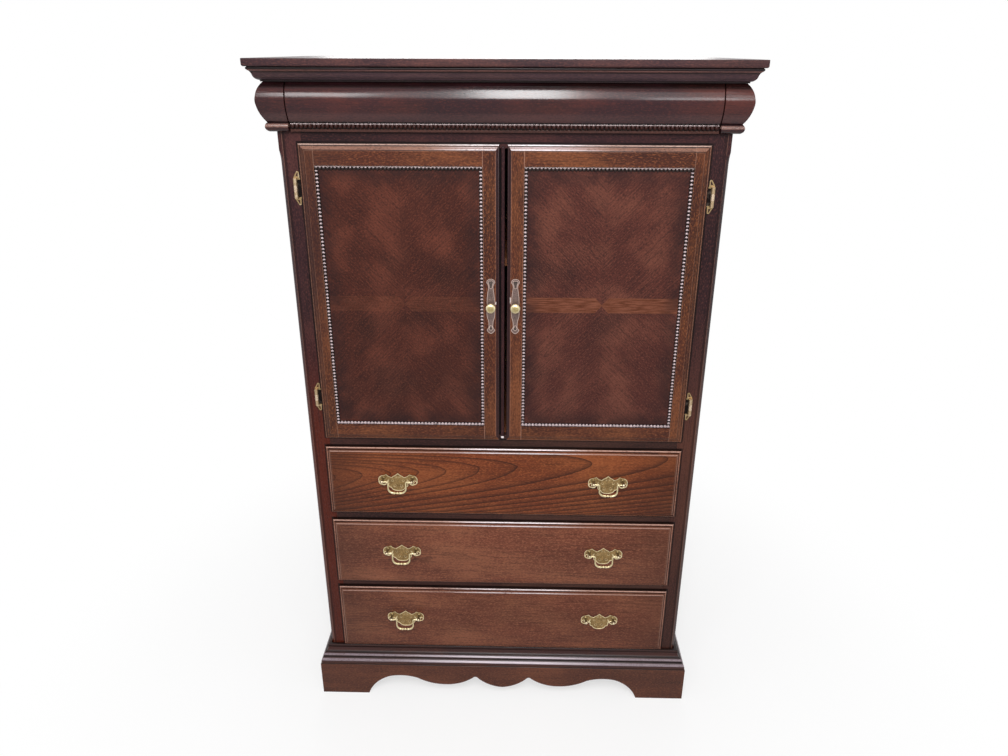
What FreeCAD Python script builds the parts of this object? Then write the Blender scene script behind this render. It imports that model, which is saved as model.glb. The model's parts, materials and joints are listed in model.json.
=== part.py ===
import FreeCAD, Part
import math
import os

# Tall two-door cabinet: three drawers below a pair of panelled doors, and a hidden drawer in the
# cushion frieze under the cornice. Millimetres; X to the right, Y to the back, Z up. The pieces
# are drawn with Y = 0 on the front of the face frame, and move to the middle of the depth when
# they are written. "Reach" is how far a moulding stands out of the case.

Vector = FreeCAD.Vector

# Case
case_width = 991.0
case_depth = 512.3
panel_thickness = 18.0
back_thickness = 6.0
frame_thickness = 20.0
stile_width = 51.5
case_foot_height = 76.0
deck_thickness = 15.0
cut_overrun = 5.0
edge_tolerance = 0.01

# Heights of the front, from the floor up
plinth_height = 107.0
base_moulding_height = 53.2
lower_front_gap = 1.4
lower_front_height = 204.5
lower_rail_gap = 20.2
middle_front_height = 198.9
upper_rail_gap = 23.9
upper_front_height = 196.3
door_rail_gap = 25.3
door_height = 724.0
frieze_rail_gap = 24.3
half_round_height = 19.5
cushion_height = 82.5
crown_height = 30.0
top_board_thickness = 16.0
top_board_upper_round = 1.5
top_board_lower_round = 4.0

# Mouldings
top_lip = 6.0
crown_reach = 40.5
cushion_reach = 31.4
half_round_reach = 19.3
plinth_thickness = 29.5
apron_rise = 68.3
side_foot_length = 112.0
side_foot_curve = 46.0
chamfer_leg = 9.0
chamfer_run = 26.0
chamfer_top_gap = 40.0

# Doors and drawer fronts
rail_lap = 9.5
door_side_lap = 8.6
drawer_side_lap = 11.2
front_stand = 12.0
lap_gap = 0.3
front_body_depth = 8.0
opening_gap = 1.5
drawer_edge_width = 12.0
drawer_edge_depth = 7.6
door_edge_width = 14.4
door_edge_depth = 8.5
meeting_edge_width = 9.0
meeting_gap = 17.8
hinge_stile_width = 33.9
meeting_stile_width = 37.1
top_rail_width = 46.9
bottom_rail_width = 41.4
panel_recess = 5.0
door_panel_thickness = 6.0
groove_depth = 8.0
groove_gap = 0.5
bead_width = 8.0
bead_base = 1.6
bead_height = 4.6
astragal_width = 7.6
astragal_offset = 1.0
astragal_recess = 5.5
astragal_flange_width = 34.0
astragal_flange_thickness = 6.0
astragal_end_gap = 5.0

# Hinges
hinge_height = 75.0
barrel_height = 45.0
barrel_radius = 4.1
knuckle_gap = 0.2
middle_knuckle_height = 15.0
pin_radius = 1.5
pin_play = 0.05
leaf_thickness = 1.6
leaf_gap = 0.3
barrel_offset = 12.4
leaf_width = 14.5
door_leaf_thickness = 1.4
door_leaf_height = 38.0
mortise_depth = 12.0
mortise_gap = 0.1
left_hinge_low = 112.6
left_hinge_high = 98.1
right_hinge_low = 97.6
right_hinge_high = 111.3

# Door pulls
door_pull_height = 356.3
door_pull_from_edge = 19.9
door_plate_length = 135.0
door_plate_width = 21.0
door_plate_thickness = 2.2
knob_radius = 11.8
knob_length = 20.0

# Drawer pulls
pull_spread = 544.6
post_spacing = 76.2
post_rise = 12.0
pull_plate_width = 101.6
pull_plate_height = 53.0
pull_plate_thickness = 1.8
post_stand = 20.2
post_radius = 3.2
post_collar_radius = 5.4
post_collar_height = 2.2
post_head_radius = 4.7
bail_radius = 2.0
bail_play = 0.06
bail_width = 46.0
bail_drop = 33.0
bail_corner_radius = 3.5
bail_curve_radius = 14.0
bail_bulb_radius = 3.4
bail_bulb_length = 9.2
bail_bulb_start = 3.6
bail_ball_radius = 2.7

# Drawer boxes and their runners
drawer_back_gap = 48.3
box_side_gap = 4.0
box_headroom = 25.0
box_side_thickness = 12.0
box_bottom_thickness = 5.0
box_bottom_rise = 8.0
box_groove = 6.0
runner_play = 1.5
runner_gap = 0.3
runner_ledge_width = 16.0
runner_ledge_thickness = 12.0
runner_guide_height = 28.0
frieze_back_gap = 118.3
frieze_seam_gap = 2.4
frieze_end_width = 30.5
frieze_headroom = 16.0
frieze_guide_height = 25.0

# Shelf and blocks
shelf_height = 430.0
shelf_side_gap = 2.0
shelf_setback = 24.0
shelf_back_gap = 22.3
shelf_pin_radius = 2.5
shelf_pin_reach = 9.0
shelf_pin_seat = 8.0
shelf_pin_play = 0.1
shelf_pin_setback = 60.0
shelf_hole_pitch = 32.0
foot_block_lap = 6.5

# Outlines in shares of the sizes that carry them: (out, up), or an arc's (middle out, middle up, out, up)
crown_start_shares = (0.0, 0.0)
crown_shares = [
    (0.46, 0.0), (0.47, 0.10), (0.53, 0.11),
    (0.68, 0.24, 0.76, 0.42), (0.81, 0.60, 0.90, 0.745), (0.94, 0.75), (0.94, 0.79),
    (1.0, 0.88, 0.95, 0.98), (0.95, 1.0), (0.0, 1.0)]
cushion_start_shares = (0.0, 0.0)
cushion_shares = [
    (0.46, 0.0), (0.80, 0.22, 0.97, 0.44), (1.0, 0.55, 0.96, 0.66),
    (0.80, 0.84, 0.46, 1.0), (0.0, 1.0)]
half_round_start_shares = (0.0, 0.0)
half_round_shares = [
    (0.62, 0.02), (0.80, 0.14), (1.0, 0.58, 0.74, 1.0), (0.0, 1.0)]
bead_rail_shares = [
    (0.52, 0.0), (0.52, 0.30), (0.66, 0.34), (1.0, 0.66, 0.66, 1.0), (0.0, 1.0)]
base_start_shares = (0.0, 0.0)
base_shares = [
    (0.92, 0.0), (0.92, 0.07), (0.88, 0.23, 0.73, 0.34), (0.68, 0.35), (0.68, 0.44),
    (0.64, 0.54, 0.51, 0.605), (0.46, 0.615), (0.34, 0.69, 0.30, 0.86), (0.26, 0.87),
    (0.26, 0.93), (0.24, 0.985, 0.18, 1.0), (0.0, 1.0)]
apron_start_shares = (0.0, 0.454)
apron_shares = [
    (0.070, 0.590, 0.134, 0.93), (0.146, 0.99, 0.160, 0.94), (0.215, 0.69, 0.305, 0.549),
    (0.389, 0.622, 0.467, 0.878), (0.543, 1.0, 0.619, 0.952), (0.695, 0.60, 0.743, 0.0)]
plinth_start_shares = (0.0, 0.0)
plinth_shares = [(1.0, 0.0), (1.0, 0.975), (0.976, 0.993, 0.92, 1.0), (0.0, 1.0)]
edge_start_shares = (0.0, 1.0)
drawer_edge_shares = [
    (0.08, 0.68, 0.34, 0.55), (0.56, 0.55), (0.66, 0.19, 0.95, 0.09), (0.95, 0.0)]
door_edge_shares = [
    (0.05, 0.72, 0.22, 0.62), (0.36, 0.62), (0.66, 0.28, 0.97, 0.07), (0.97, 0.0)]
pull_plate_start_shares = (0.0, 1.0)
pull_plate_shares = [
    (0.14, 0.90, 0.25, 0.63), (0.31, 0.55, 0.37, 0.58), (0.50, 0.70, 0.59, 0.875),
    (0.68, 0.80, 0.763, 0.75), (0.95, 0.58, 1.0, 0.16), (0.96, -0.20, 0.825, -0.325),
    (0.68, -0.36, 0.58, -0.143), (0.50, -0.20), (0.50, -0.46, 0.37, -0.63),
    (0.30, -0.84, 0.206, -0.95), (0.10, -1.0, 0.0, -1.0)]
door_plate_start_shares = (0.0, 1.0)
door_plate_shares = [
    (0.62, 0.965, 1.0, 0.868), (0.72, 0.80, 0.62, 0.69), (0.60, 0.64),
    (0.82, 0.48, 0.89, 0.30), (0.90, 0.15, 0.80, 0.0)]
hinge_loop_start_shares = (0.08, 0.0)
hinge_loop_shares = [(0.12, 0.86), (0.30, 1.0, 0.50, 0.94), (1.0, 0.10), (1.0, 0.0)]
hinge_eye_start_shares = (0.30, 0.26)
hinge_eye_shares = [(0.30, 0.68), (0.36, 0.80, 0.44, 0.72), (0.66, 0.26)]
knob_start_shares = (0.0, 0.0)
knob_shares = [
    (0.62, 0.0), (0.62, 0.10), (0.44, 0.16), (0.44, 0.40), (0.80, 0.47, 1.0, 0.66),
    (0.93, 0.86, 0.66, 0.965), (0.0, 1.0)]

# Levels and places that follow from the sizes
case_half = case_width / 2
opening_half = case_half - stile_width
inner_half = case_half - panel_thickness
plinth_half = case_half + plinth_thickness
back_face = case_depth - back_thickness
top_overhang = crown_reach + top_lip
foot_block_width = stile_width + foot_block_lap
drawer_half = opening_half + drawer_side_lap
door_outer = opening_half + door_side_lap
door_inner = meeting_gap / 2

lower_front_bottom = plinth_height + base_moulding_height + lower_front_gap
middle_front_bottom = lower_front_bottom + lower_front_height + lower_rail_gap
upper_front_bottom = middle_front_bottom + middle_front_height + upper_rail_gap
door_bottom = upper_front_bottom + upper_front_height + door_rail_gap
door_top = door_bottom + door_height
half_round_bottom = door_top + frieze_rail_gap
cushion_bottom = half_round_bottom + half_round_height
crown_bottom = cushion_bottom + cushion_height
case_top_level = crown_bottom + crown_height
overall_height = case_top_level + top_board_thickness
overall_depth = case_depth + top_overhang
chamfer_bottom = plinth_height + base_moulding_height - chamfer_run

drawer_edge = (drawer_edge_width, drawer_edge_depth, drawer_edge_shares)
door_edge = (door_edge_width, door_edge_depth, door_edge_shares)
meeting_edge = (meeting_edge_width, door_edge_depth, door_edge_shares)

drawer_fronts = {
    "lower": (lower_front_bottom, lower_front_height),
    "middle": (middle_front_bottom, middle_front_height),
    "upper": (upper_front_bottom, upper_front_height)}
door_opening_bottom = door_bottom + rail_lap
door_opening_top = door_top - rail_lap
frieze_opening_bottom = cushion_bottom + opening_gap
frieze_opening_top = crown_bottom - opening_gap
frieze_half = case_half - frieze_end_width

hinge_levels = {
    -1: (door_bottom + left_hinge_low, door_top - left_hinge_high),
    1: (door_bottom + right_hinge_low, door_top - right_hinge_high)}
barrel_x = door_outer + barrel_offset
barrel_y = -(leaf_thickness + leaf_gap + barrel_radius)
pull_centre_x = pull_spread / 2
post_y = -(front_stand + pull_plate_thickness + post_stand)

pieces = {}


def box(x0, x1, y0, y1, z0, z1):
    """A block between two planes on each axis."""
    corner = Vector(min(x0, x1), min(y0, y1), min(z0, z1))
    return Part.makeBox(abs(x1 - x0), abs(y1 - y0), abs(z1 - z0), corner)


def closed_face(start, moves, place):
    """Face inside an outline. Two numbers are a line to a corner, four an arc through a point."""
    edges, here = [], tuple(start)
    for move in list(moves) + [tuple(start)]:
        end = tuple(move[-2:])
        if len(move) == 4:
            edges.append(Part.Arc(place(*here), place(*move[:2]), place(*end)).toShape())
        elif math.dist(here, end) > 0:
            edges.append(Part.LineSegment(place(*here), place(*end)).toShape())
        here = end
    return Part.Face(Part.Wire(edges))


def mirrored_outline(start, moves):
    """The moves of a half outline, followed by the same half mirrored back to its start."""
    corners = [tuple(start)] + [tuple(move[-2:]) for move in moves]
    back = [(-corners[-1][0], corners[-1][1])]
    for index in range(len(moves) - 1, -1, -1):
        end = (-corners[index][0], corners[index][1])
        middle = (-moves[index][0], moves[index][1]) if len(moves[index]) == 4 else ()
        back.append(middle + end)
    return list(moves) + back


def mirror_x(shape):
    """The same shape on the other side of the middle."""
    return shape.mirror(Vector(0, 0, 0), Vector(1, 0, 0))


def on_side(shape, side):
    """A shape drawn on the right, or its mirror image for side -1."""
    return shape if side > 0 else mirror_x(shape)


def both_sides(shape):
    """A shape drawn on the right, with its mirror image."""
    return [mirror_x(shape), shape]


def fused(*shapes):
    """One solid from several that meet."""
    return shapes[0].multiFuse(list(shapes[1:])).removeSplitter()


def mitre_block(reach, bottom, height):
    """The space that a front moulding may fill between its two mitres."""
    far = reach + cut_overrun
    z = bottom - cut_overrun
    points = [
        Vector(-case_half - far, -far, z), Vector(case_half + far, -far, z),
        Vector(case_half - cut_overrun, cut_overrun, z), Vector(-case_half + cut_overrun, cut_overrun, z)]
    base = Part.Face(Part.makePolygon(points + points[:1]))
    return base.extrude(Vector(0, 0, height + 2 * cut_overrun))


def moulding(start, moves, reach, bottom, height):
    """Front length and right-hand length of a moulding, mitred at the front corner of the case."""
    end = case_half + reach + cut_overrun
    front = closed_face(start, moves, lambda out, up: Vector(-end, -out * reach, bottom + up * height))
    side = closed_face(start, moves, lambda out, up: Vector(
        case_half + out * reach, -reach - cut_overrun, bottom + up * height))
    block = mitre_block(reach, bottom, height)
    front = front.extrude(Vector(2 * end, 0, 0)).common(block)
    side = side.extrude(Vector(0, reach + cut_overrun + case_depth, 0)).cut(block)
    return front, side


def moulded_front(x0, x1, z0, z1, laps, mouldings):
    """Lipped board with moulded edges; laps and mouldings are left, right, bottom and top."""
    lip = box(x0, x1, -front_stand, -lap_gap, z0, z1)
    sides = [
        (lambda s, t: Vector(x0 + s, -front_stand + t, z0 - cut_overrun), Vector(0, 0, 1), z1 - z0),
        (lambda s, t: Vector(x1 - s, -front_stand + t, z0 - cut_overrun), Vector(0, 0, 1), z1 - z0),
        (lambda s, t: Vector(x0 - cut_overrun, -front_stand + t, z0 + s), Vector(1, 0, 0), x1 - x0),
        (lambda s, t: Vector(x0 - cut_overrun, -front_stand + t, z1 - s), Vector(1, 0, 0), x1 - x0)]
    for (place, along, length), (width, depth, shares) in zip(sides, mouldings):
        start, *moves = [tuple(
            value * (width if index % 2 == 0 else depth) for index, value in enumerate(move))
            for move in [edge_start_shares] + shares]
        waste = moves + [(moves[-1][0], -cut_overrun), (-cut_overrun, -cut_overrun), (-cut_overrun, depth)]
        cutter = closed_face(start, waste, place).extrude(along * (length + 2 * cut_overrun))
        lip = lip.cut(cutter)
    inset = [lap + opening_gap if lap > 0 else 0 for lap in laps]
    body = box(
        x0 + inset[0], x1 - inset[1], -lap_gap, front_body_depth, z0 + inset[2], z1 - inset[3])
    return fused(lip, body)


def tapered_corner_cut(z0, z1):
    """Cutter for the chamfer on the right-hand front corner, run out in a curve at each end."""
    depth = chamfer_leg / math.sqrt(2)
    half = chamfer_leg + cut_overrun
    out, along = Vector(1, -1, 0).normalize(), Vector(1, 1, 0).normalize()
    bow_share = 0.30
    bow = chamfer_run * bow_share
    moves = [
        (cut_overrun, z1), (0, z1), (-depth / 2, z1 - bow, -depth, z1 - chamfer_run),
        (-depth, z0 + chamfer_run), (-depth / 2, z0 + bow, 0, z0)]

    def place(across, up):
        return Vector(case_half, 0, up) + out * across - along * half

    return closed_face((cut_overrun, z0), moves, place).extrude(along * (2 * half))


def top_board():
    """The board on the cornice, rounded along its front and ends."""
    reach = case_half + top_overhang
    board = box(-reach, reach, -top_overhang, case_depth, case_top_level, overall_height)
    for level, radius in (
            (overall_height, top_board_upper_round), (case_top_level, top_board_lower_round)):
        rims = [
            edge for edge in board.Edges
            if abs(edge.BoundBox.ZMin - level) + abs(edge.BoundBox.ZMax - level) < edge_tolerance
            and edge.BoundBox.YMin < case_depth - edge_tolerance]
        board = board.makeFillet(radius, rims)
    return board


def case_pieces():
    """Panels, face frame and decks of the case."""
    side = box(inner_half, case_half, frame_thickness, case_depth, case_foot_height, case_top_level)
    levels = [shelf_pin_level + step * shelf_hole_pitch for step in (-1, 0, 1)]
    for level in levels:
        for depth in shelf_pin_depths:
            side = side.cut(Part.makeCylinder(
                shelf_pin_radius + shelf_pin_play, shelf_pin_seat + shelf_pin_play,
                Vector(inner_half, depth, level), Vector(1, 0, 0)))
    pieces["side_panel_right"] = [side]
    pieces["side_panel_left"] = [mirror_x(side)]

    stile = box(opening_half, case_half, 0, frame_thickness, case_foot_height, case_top_level)
    stile = stile.cut(tapered_corner_cut(chamfer_bottom, door_top + frieze_rail_gap - chamfer_top_gap))
    pieces["face_stile_right"] = [stile]
    pieces["face_stile_left"] = [mirror_x(stile)]

    def rail(z0, z1):
        return box(-opening_half, opening_half, 0, frame_thickness, z0, z1)

    fronts = [drawer_fronts[name] for name in ("lower", "middle", "upper")]
    pieces["drawer_rails"] = [
        rail(case_foot_height, fronts[0][0] + rail_lap),
        rail(sum(fronts[0]) - rail_lap, fronts[1][0] + rail_lap),
        rail(sum(fronts[1]) - rail_lap, fronts[2][0] + rail_lap)]
    pieces["middle_rail"] = [rail(sum(fronts[2]) - rail_lap, door_opening_bottom)]
    pieces["frieze_rails"] = [
        rail(door_opening_top, frieze_opening_bottom), rail(frieze_opening_top, case_top_level)]

    def deck(top, thickness):
        return box(-inner_half, inner_half, frame_thickness, back_face, top - thickness, top)

    pieces["case_bottom"] = [deck(runner_level("lower") - runner_ledge_thickness, panel_thickness)]
    pieces["compartment_floor"] = [deck(door_opening_bottom, panel_thickness)]
    pieces["frieze_deck"] = [deck(frieze_opening_bottom, deck_thickness)]
    pieces["case_top"] = [deck(case_top_level, panel_thickness)]
    pieces["back_panel"] = [
        box(-inner_half, inner_half, back_face, case_depth, case_foot_height, case_top_level)]
    pieces["top_board"] = [top_board()]


def moulding_pieces():
    """Cornice, the fixed ends of the frieze, the base moulding and the plinth."""
    front, side = moulding(crown_start_shares, crown_shares, crown_reach, crown_bottom, crown_height)
    pieces["crown_moulding"] = [front] + both_sides(side)

    ends = []
    for start, moves, reach, bottom, height in (
            (cushion_start_shares, cushion_shares, cushion_reach, cushion_bottom, cushion_height),
            (half_round_start_shares, half_round_shares, half_round_reach, half_round_bottom,
             half_round_height)):
        front, side = moulding(start, moves, reach, bottom, height)
        corner = front.common(box(
            frieze_half, case_half + reach, -reach, 0, bottom, bottom + height))
        ends += [corner, side]
    pieces["frieze_ends"] = both_sides(fused(*ends))

    front, side = moulding(
        base_start_shares, base_shares, plinth_thickness, plinth_height, base_moulding_height)
    pieces["base_moulding"] = [front] + both_sides(side)

    apron = mirrored_outline(apron_start_shares, apron_shares)
    floor_cut = closed_face(apron_start_shares, apron, lambda out, up: Vector(
        out * plinth_half, -plinth_thickness - cut_overrun, up * apron_rise))
    floor_cut = floor_cut.extrude(Vector(0, plinth_thickness + 2 * cut_overrun, 0))
    front, side = moulding(
        plinth_start_shares, plinth_shares, plinth_thickness, 0, plinth_height)
    pieces["plinth_front"] = [front.cut(floor_cut)]

    near, far = side_foot_length, case_depth - side_foot_length
    bend_share = 0.30
    bend = side_foot_curve * bend_share
    side_moves = [
        (near + bend, apron_rise - bend, near + side_foot_curve, apron_rise),
        (far - side_foot_curve, apron_rise), (far - bend, apron_rise - bend, far, 0)]
    side_cut = closed_face((near, 0), side_moves, lambda along, up: Vector(
        case_half - cut_overrun, along, up)).extrude(Vector(plinth_thickness + 2 * cut_overrun, 0, 0))
    pieces["plinth_sides"] = both_sides(side.cut(side_cut))

    blocks = []
    for y in (0, case_depth - foot_block_width):
        blocks += both_sides(box(
            case_half - foot_block_width, case_half, y, y + foot_block_width, 0, case_foot_height))
    pieces["foot_blocks"] = blocks


def runner_level(name):
    """Height of the ledge that a drawer slides on."""
    return drawer_fronts[name][0] + rail_lap + opening_gap - runner_gap


def drawer_box(half, bottom, height, back_gap):
    """Sides and back as three boards, and the thin bottom that sits in grooves in the sides."""
    start, stop = front_body_depth, back_face - back_gap
    base = box(
        -(half - box_side_thickness + box_groove), half - box_side_thickness + box_groove,
        start, stop, bottom + box_bottom_rise, bottom + box_bottom_rise + box_bottom_thickness)
    side = box(half - box_side_thickness, half, start, stop, bottom, bottom + height)
    side = side.cut(base)
    inner = half - box_side_thickness
    back = box(
        -inner, inner, stop - box_side_thickness, stop,
        bottom + box_bottom_rise + box_bottom_thickness, bottom + height)
    return both_sides(side) + [back], base


def drawer_pieces(name, handle):
    """Front, box, bottom, pull plates and bails of one of the three wide drawers."""
    bottom, height = drawer_fronts[name]
    laps = (drawer_side_lap, drawer_side_lap, rail_lap, rail_lap)
    pieces[name + "_drawer_front"] = [
        moulded_front(-drawer_half, drawer_half, bottom, bottom + height, laps, [drawer_edge] * 4)]
    box_bottom = runner_level(name) + runner_gap
    box_height = height - 2 * rail_lap - box_headroom
    boards, base = drawer_box(opening_half - box_side_gap, box_bottom, box_height, drawer_back_gap)
    pieces[name + "_drawer_box"] = boards
    pieces[name + "_drawer_bottom"] = [base]
    centre = bottom + height / 2
    plates = []
    for side in (-1, 1):
        plates += pull_plate(side * pull_centre_x, centre)
    pieces[name + "_drawer_pull_plates"] = plates
    for side, word in ((-1, "left"), (1, "right")):
        if (name, word) != ("lower", "right"):
            place = Vector(side * pull_centre_x, post_y, centre + post_rise)
            pieces[name + "_" + word + "_bail"] = [handle.translated(place)]


def pull_plate(x, z):
    """Cast plate with its two bail posts."""
    half, rise = pull_plate_width / 2, pull_plate_height / 2
    outline = mirrored_outline(pull_plate_start_shares, pull_plate_shares)
    plate = closed_face(pull_plate_start_shares, outline, lambda across, up: Vector(
        x + across * half, -front_stand, z + up * rise)).extrude(Vector(0, -pull_plate_thickness, 0))
    posts = []
    for side in (-1, 1):
        foot = Vector(x + side * post_spacing / 2, -front_stand - pull_plate_thickness, z + post_rise)
        head = foot + Vector(0, -post_stand, 0)
        post = fused(
            Part.makeCylinder(post_collar_radius, post_collar_height, foot, Vector(0, -1, 0)),
            Part.makeCylinder(post_radius, post_stand, foot, Vector(0, -1, 0)),
            Part.makeSphere(post_head_radius, head, Vector(0, -1, 0)))
        seat = Part.makeCylinder(
            bail_radius + bail_play, post_head_radius + bail_play, head,
            Vector(-side, 0, 0))
        posts.append(post.cut(seat))
    return [plate] + posts


def bail():
    """Swinging handle: two arms in the posts, a bowed drop and a turned grip, about its pivots' middle."""
    half, corner, curve = bail_width / 2, bail_corner_radius, bail_curve_radius
    end, grip = post_spacing / 2 - bail_play, half - curve
    axis = Vector(0, 1, 0)

    def point(across, up):
        return Vector(across, 0, up)

    def straight(start, stop):
        return Part.makeCylinder(bail_radius, start.distanceToPoint(stop), start, stop - start)

    def bend(start, middle, turn):
        tangent = axis.cross(start - middle)
        disc = Part.Face(Part.Wire(Part.makeCircle(bail_radius, start, tangent)))
        return disc.revolve(middle, axis * turn, 90)

    rods = [straight(point(-grip, -bail_drop), point(grip, -bail_drop))]
    for side in (-1, 1):
        shoulder, drop = side * (half + corner), side * half
        rods += [
            straight(point(side * end, 0), point(shoulder, 0)),
            bend(point(shoulder, 0), point(shoulder, -corner), -side),
            straight(point(drop, -corner), point(drop, curve - bail_drop)),
            bend(point(drop, curve - bail_drop), point(side * grip, curve - bail_drop), side)]

    start, stop = bail_bulb_start, bail_bulb_start + bail_bulb_length
    neck_share, swell_share = 0.8, 0.40
    neck, belly = bail_radius * neck_share, start + bail_bulb_length * swell_share
    grips = [Part.makeSphere(bail_ball_radius, point(0, -bail_drop), Vector(1, 0, 0))]
    for side in (-1, 1):
        outline = [(start, neck), (belly, bail_bulb_radius, stop, bail_radius), (stop, 0)]
        spindle = closed_face((start, 0), outline, lambda across, out: point(
            side * across, out - bail_drop))
        grips.append(spindle.revolve(point(0, -bail_drop), Vector(1, 0, 0), 360))
    return fused(*rods, *grips)


def runner_pieces():
    """L-shaped wooden runners on the sides, and the guides beside the frieze drawer."""
    runners = []
    guide = opening_half - box_side_gap + runner_play
    for name in drawer_fronts:
        top = runner_level(name)
        ledge = box(guide - runner_ledge_width, inner_half, frame_thickness, back_face,
                    top - runner_ledge_thickness, top)
        fence = box(guide, inner_half, frame_thickness, back_face, top, top + runner_guide_height)
        runners += both_sides(ledge) + both_sides(fence)
    runners += both_sides(box(
        guide, inner_half, frame_thickness, back_face,
        frieze_opening_bottom, frieze_opening_bottom + frieze_guide_height))
    pieces["drawer_runners"] = runners


def frieze_drawer_pieces():
    """The hidden drawer behind the cushion frieze, with the bead rail under its front."""
    half = frieze_half - frieze_seam_gap
    span = box(-half, half, -cushion_reach, -lap_gap, half_round_bottom, crown_bottom - lap_gap)
    front, _ = moulding(
        cushion_start_shares, cushion_shares, cushion_reach, cushion_bottom, cushion_height)
    cushion = front.common(span)
    bead, _ = moulding(
        half_round_start_shares, bead_rail_shares, half_round_reach, half_round_bottom,
        half_round_height)
    pieces["frieze_drawer_bead"] = [bead.common(span)]
    bottom = frieze_opening_bottom + runner_gap
    height = frieze_opening_top - frieze_opening_bottom - frieze_headroom
    half = opening_half - box_side_gap
    boards, base = drawer_box(half, bottom, height, frieze_back_gap)
    body = box(-half, half, -lap_gap, front_body_depth, bottom, bottom + height)
    pieces["frieze_drawer_front"] = [fused(cushion, body)]
    pieces["frieze_drawer_box"] = boards
    pieces["frieze_drawer_bottom"] = [base]


def bead_strips(x0, x1, z0, z1):
    """Four mitred lengths of the round moulding that frames a door panel."""
    base_y = -front_stand + panel_recess
    middle = bead_width / 2
    moves = [
        (0, bead_base), (middle, bead_height, bead_width, bead_base), (bead_width, 0)]
    strips = []
    for place, along, length, corners in (
            (lambda s, t: Vector(x0 + s, base_y - t, z0), Vector(0, 0, 1), z1 - z0,
             [(x0, z0), (x0 + bead_width, z0 + bead_width), (x0 + bead_width, z1 - bead_width), (x0, z1)]),
            (lambda s, t: Vector(x1 - s, base_y - t, z0), Vector(0, 0, 1), z1 - z0,
             [(x1, z0), (x1 - bead_width, z0 + bead_width), (x1 - bead_width, z1 - bead_width), (x1, z1)]),
            (lambda s, t: Vector(x0, base_y - t, z0 + s), Vector(1, 0, 0), x1 - x0,
             [(x0, z0), (x0 + bead_width, z0 + bead_width), (x1 - bead_width, z0 + bead_width), (x1, z0)]),
            (lambda s, t: Vector(x0, base_y - t, z1 - s), Vector(1, 0, 0), x1 - x0,
             [(x0, z1), (x0 + bead_width, z1 - bead_width), (x1 - bead_width, z1 - bead_width), (x1, z1)])):
        strip = closed_face((0, 0), moves, place).extrude(along * length)
        mitre = Part.makePolygon([Vector(x, base_y, z) for x, z in corners + corners[:1]])
        strips.append(strip.common(Part.Face(mitre).extrude(Vector(0, -bead_height, 0))))
    return strips


def door_pieces(side):
    """One door, drawn on the right and mirrored for the left; its hinges keep their own heights."""
    name = "right_door" if side > 0 else "left_door"
    blank = moulded_front(
        door_inner, door_outer, door_bottom, door_top, (0, door_side_lap, rail_lap, rail_lap),
        (meeting_edge, door_edge, door_edge, door_edge))
    x0, x1 = door_inner + meeting_stile_width, door_outer - hinge_stile_width
    z0, z1 = door_bottom + bottom_rail_width, door_top - top_rail_width
    front = -front_stand + panel_recess
    back = front + door_panel_thickness
    groove = box(x0 - groove_depth, x1 + groove_depth, front, back, z0 - groove_depth, z1 + groove_depth)
    frame = blank.cut(box(x0, x1, -front_stand, front_body_depth, z0, z1)).cut(groove)
    far = front_stand + front_body_depth
    stiles = [
        frame.common(box(door_inner, x0, -far, far, door_bottom, door_top)),
        frame.common(box(x1, door_outer, -far, far, door_bottom, door_top))]
    rails = [
        frame.common(box(x0, x1, -far, far, door_bottom, z0)),
        frame.common(box(x0, x1, -far, far, z1, door_top))]
    seat = groove_depth - groove_gap
    panel = box(x0 - seat, x1 + seat, front, back, z0 - seat, z1 + seat)

    leaves = []
    for level in hinge_levels[side]:
        leaf, mortise = door_leaf(level)
        leaves.append(leaf)
        stiles[1] = stiles[1].cut(mortise)
    pull_x = door_inner + door_pull_from_edge
    pull_z = door_bottom + door_pull_height
    made = {
        "stiles": stiles, "rails": rails, "panel": [panel], "bead": bead_strips(x0, x1, z0, z1),
        "pull_plate": [door_plate(pull_x, pull_z)], "knob": [knob(pull_x, pull_z)],
        "hinge_leaves": leaves}
    for word, solids in made.items():
        pieces[name + "_" + word] = [on_side(solid, side) for solid in solids]


def astragal_piece():
    """Strip that fills the gap between the doors, screwed to the back of the left one."""
    x1 = astragal_width / 2 - astragal_offset
    tongue = box(
        x1 - astragal_width, x1, -front_stand + astragal_recess, -lap_gap,
        door_bottom + astragal_end_gap, door_top - astragal_end_gap)
    z0, z1 = door_opening_bottom + opening_gap, door_opening_top - opening_gap
    stem = box(x1 - astragal_width, x1, -lap_gap, front_body_depth, z0, z1)
    flange = box(
        x1 - astragal_flange_width, x1, front_body_depth,
        front_body_depth + astragal_flange_thickness, z0, z1)
    pieces["left_door_astragal"] = [fused(tongue, stem, flange)]


def door_plate(x, z):
    """Backplate of a door knob."""
    quarter = door_plate_shares
    corners = [door_plate_start_shares] + [tuple(move[-2:]) for move in quarter]
    lower = []
    for index in range(len(quarter) - 1, -1, -1):
        end = (corners[index][0], -corners[index][1])
        middle = (quarter[index][0], -quarter[index][1]) if len(quarter[index]) == 4 else ()
        lower.append(middle + end)
    outline = mirrored_outline(door_plate_start_shares, list(quarter) + lower)
    face = closed_face(door_plate_start_shares, outline, lambda across, up: Vector(
        x + across * door_plate_width / 2, -front_stand, z + up * door_plate_length / 2))
    return face.extrude(Vector(0, -door_plate_thickness, 0))


def knob(x, z):
    """Turned door knob."""
    base = -front_stand - door_plate_thickness
    face = closed_face(knob_start_shares, knob_shares, lambda out, along: Vector(
        x + out * knob_radius, base - along * knob_length, z))
    return face.revolve(Vector(x, base, z), Vector(0, 1, 0), 360)


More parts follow.
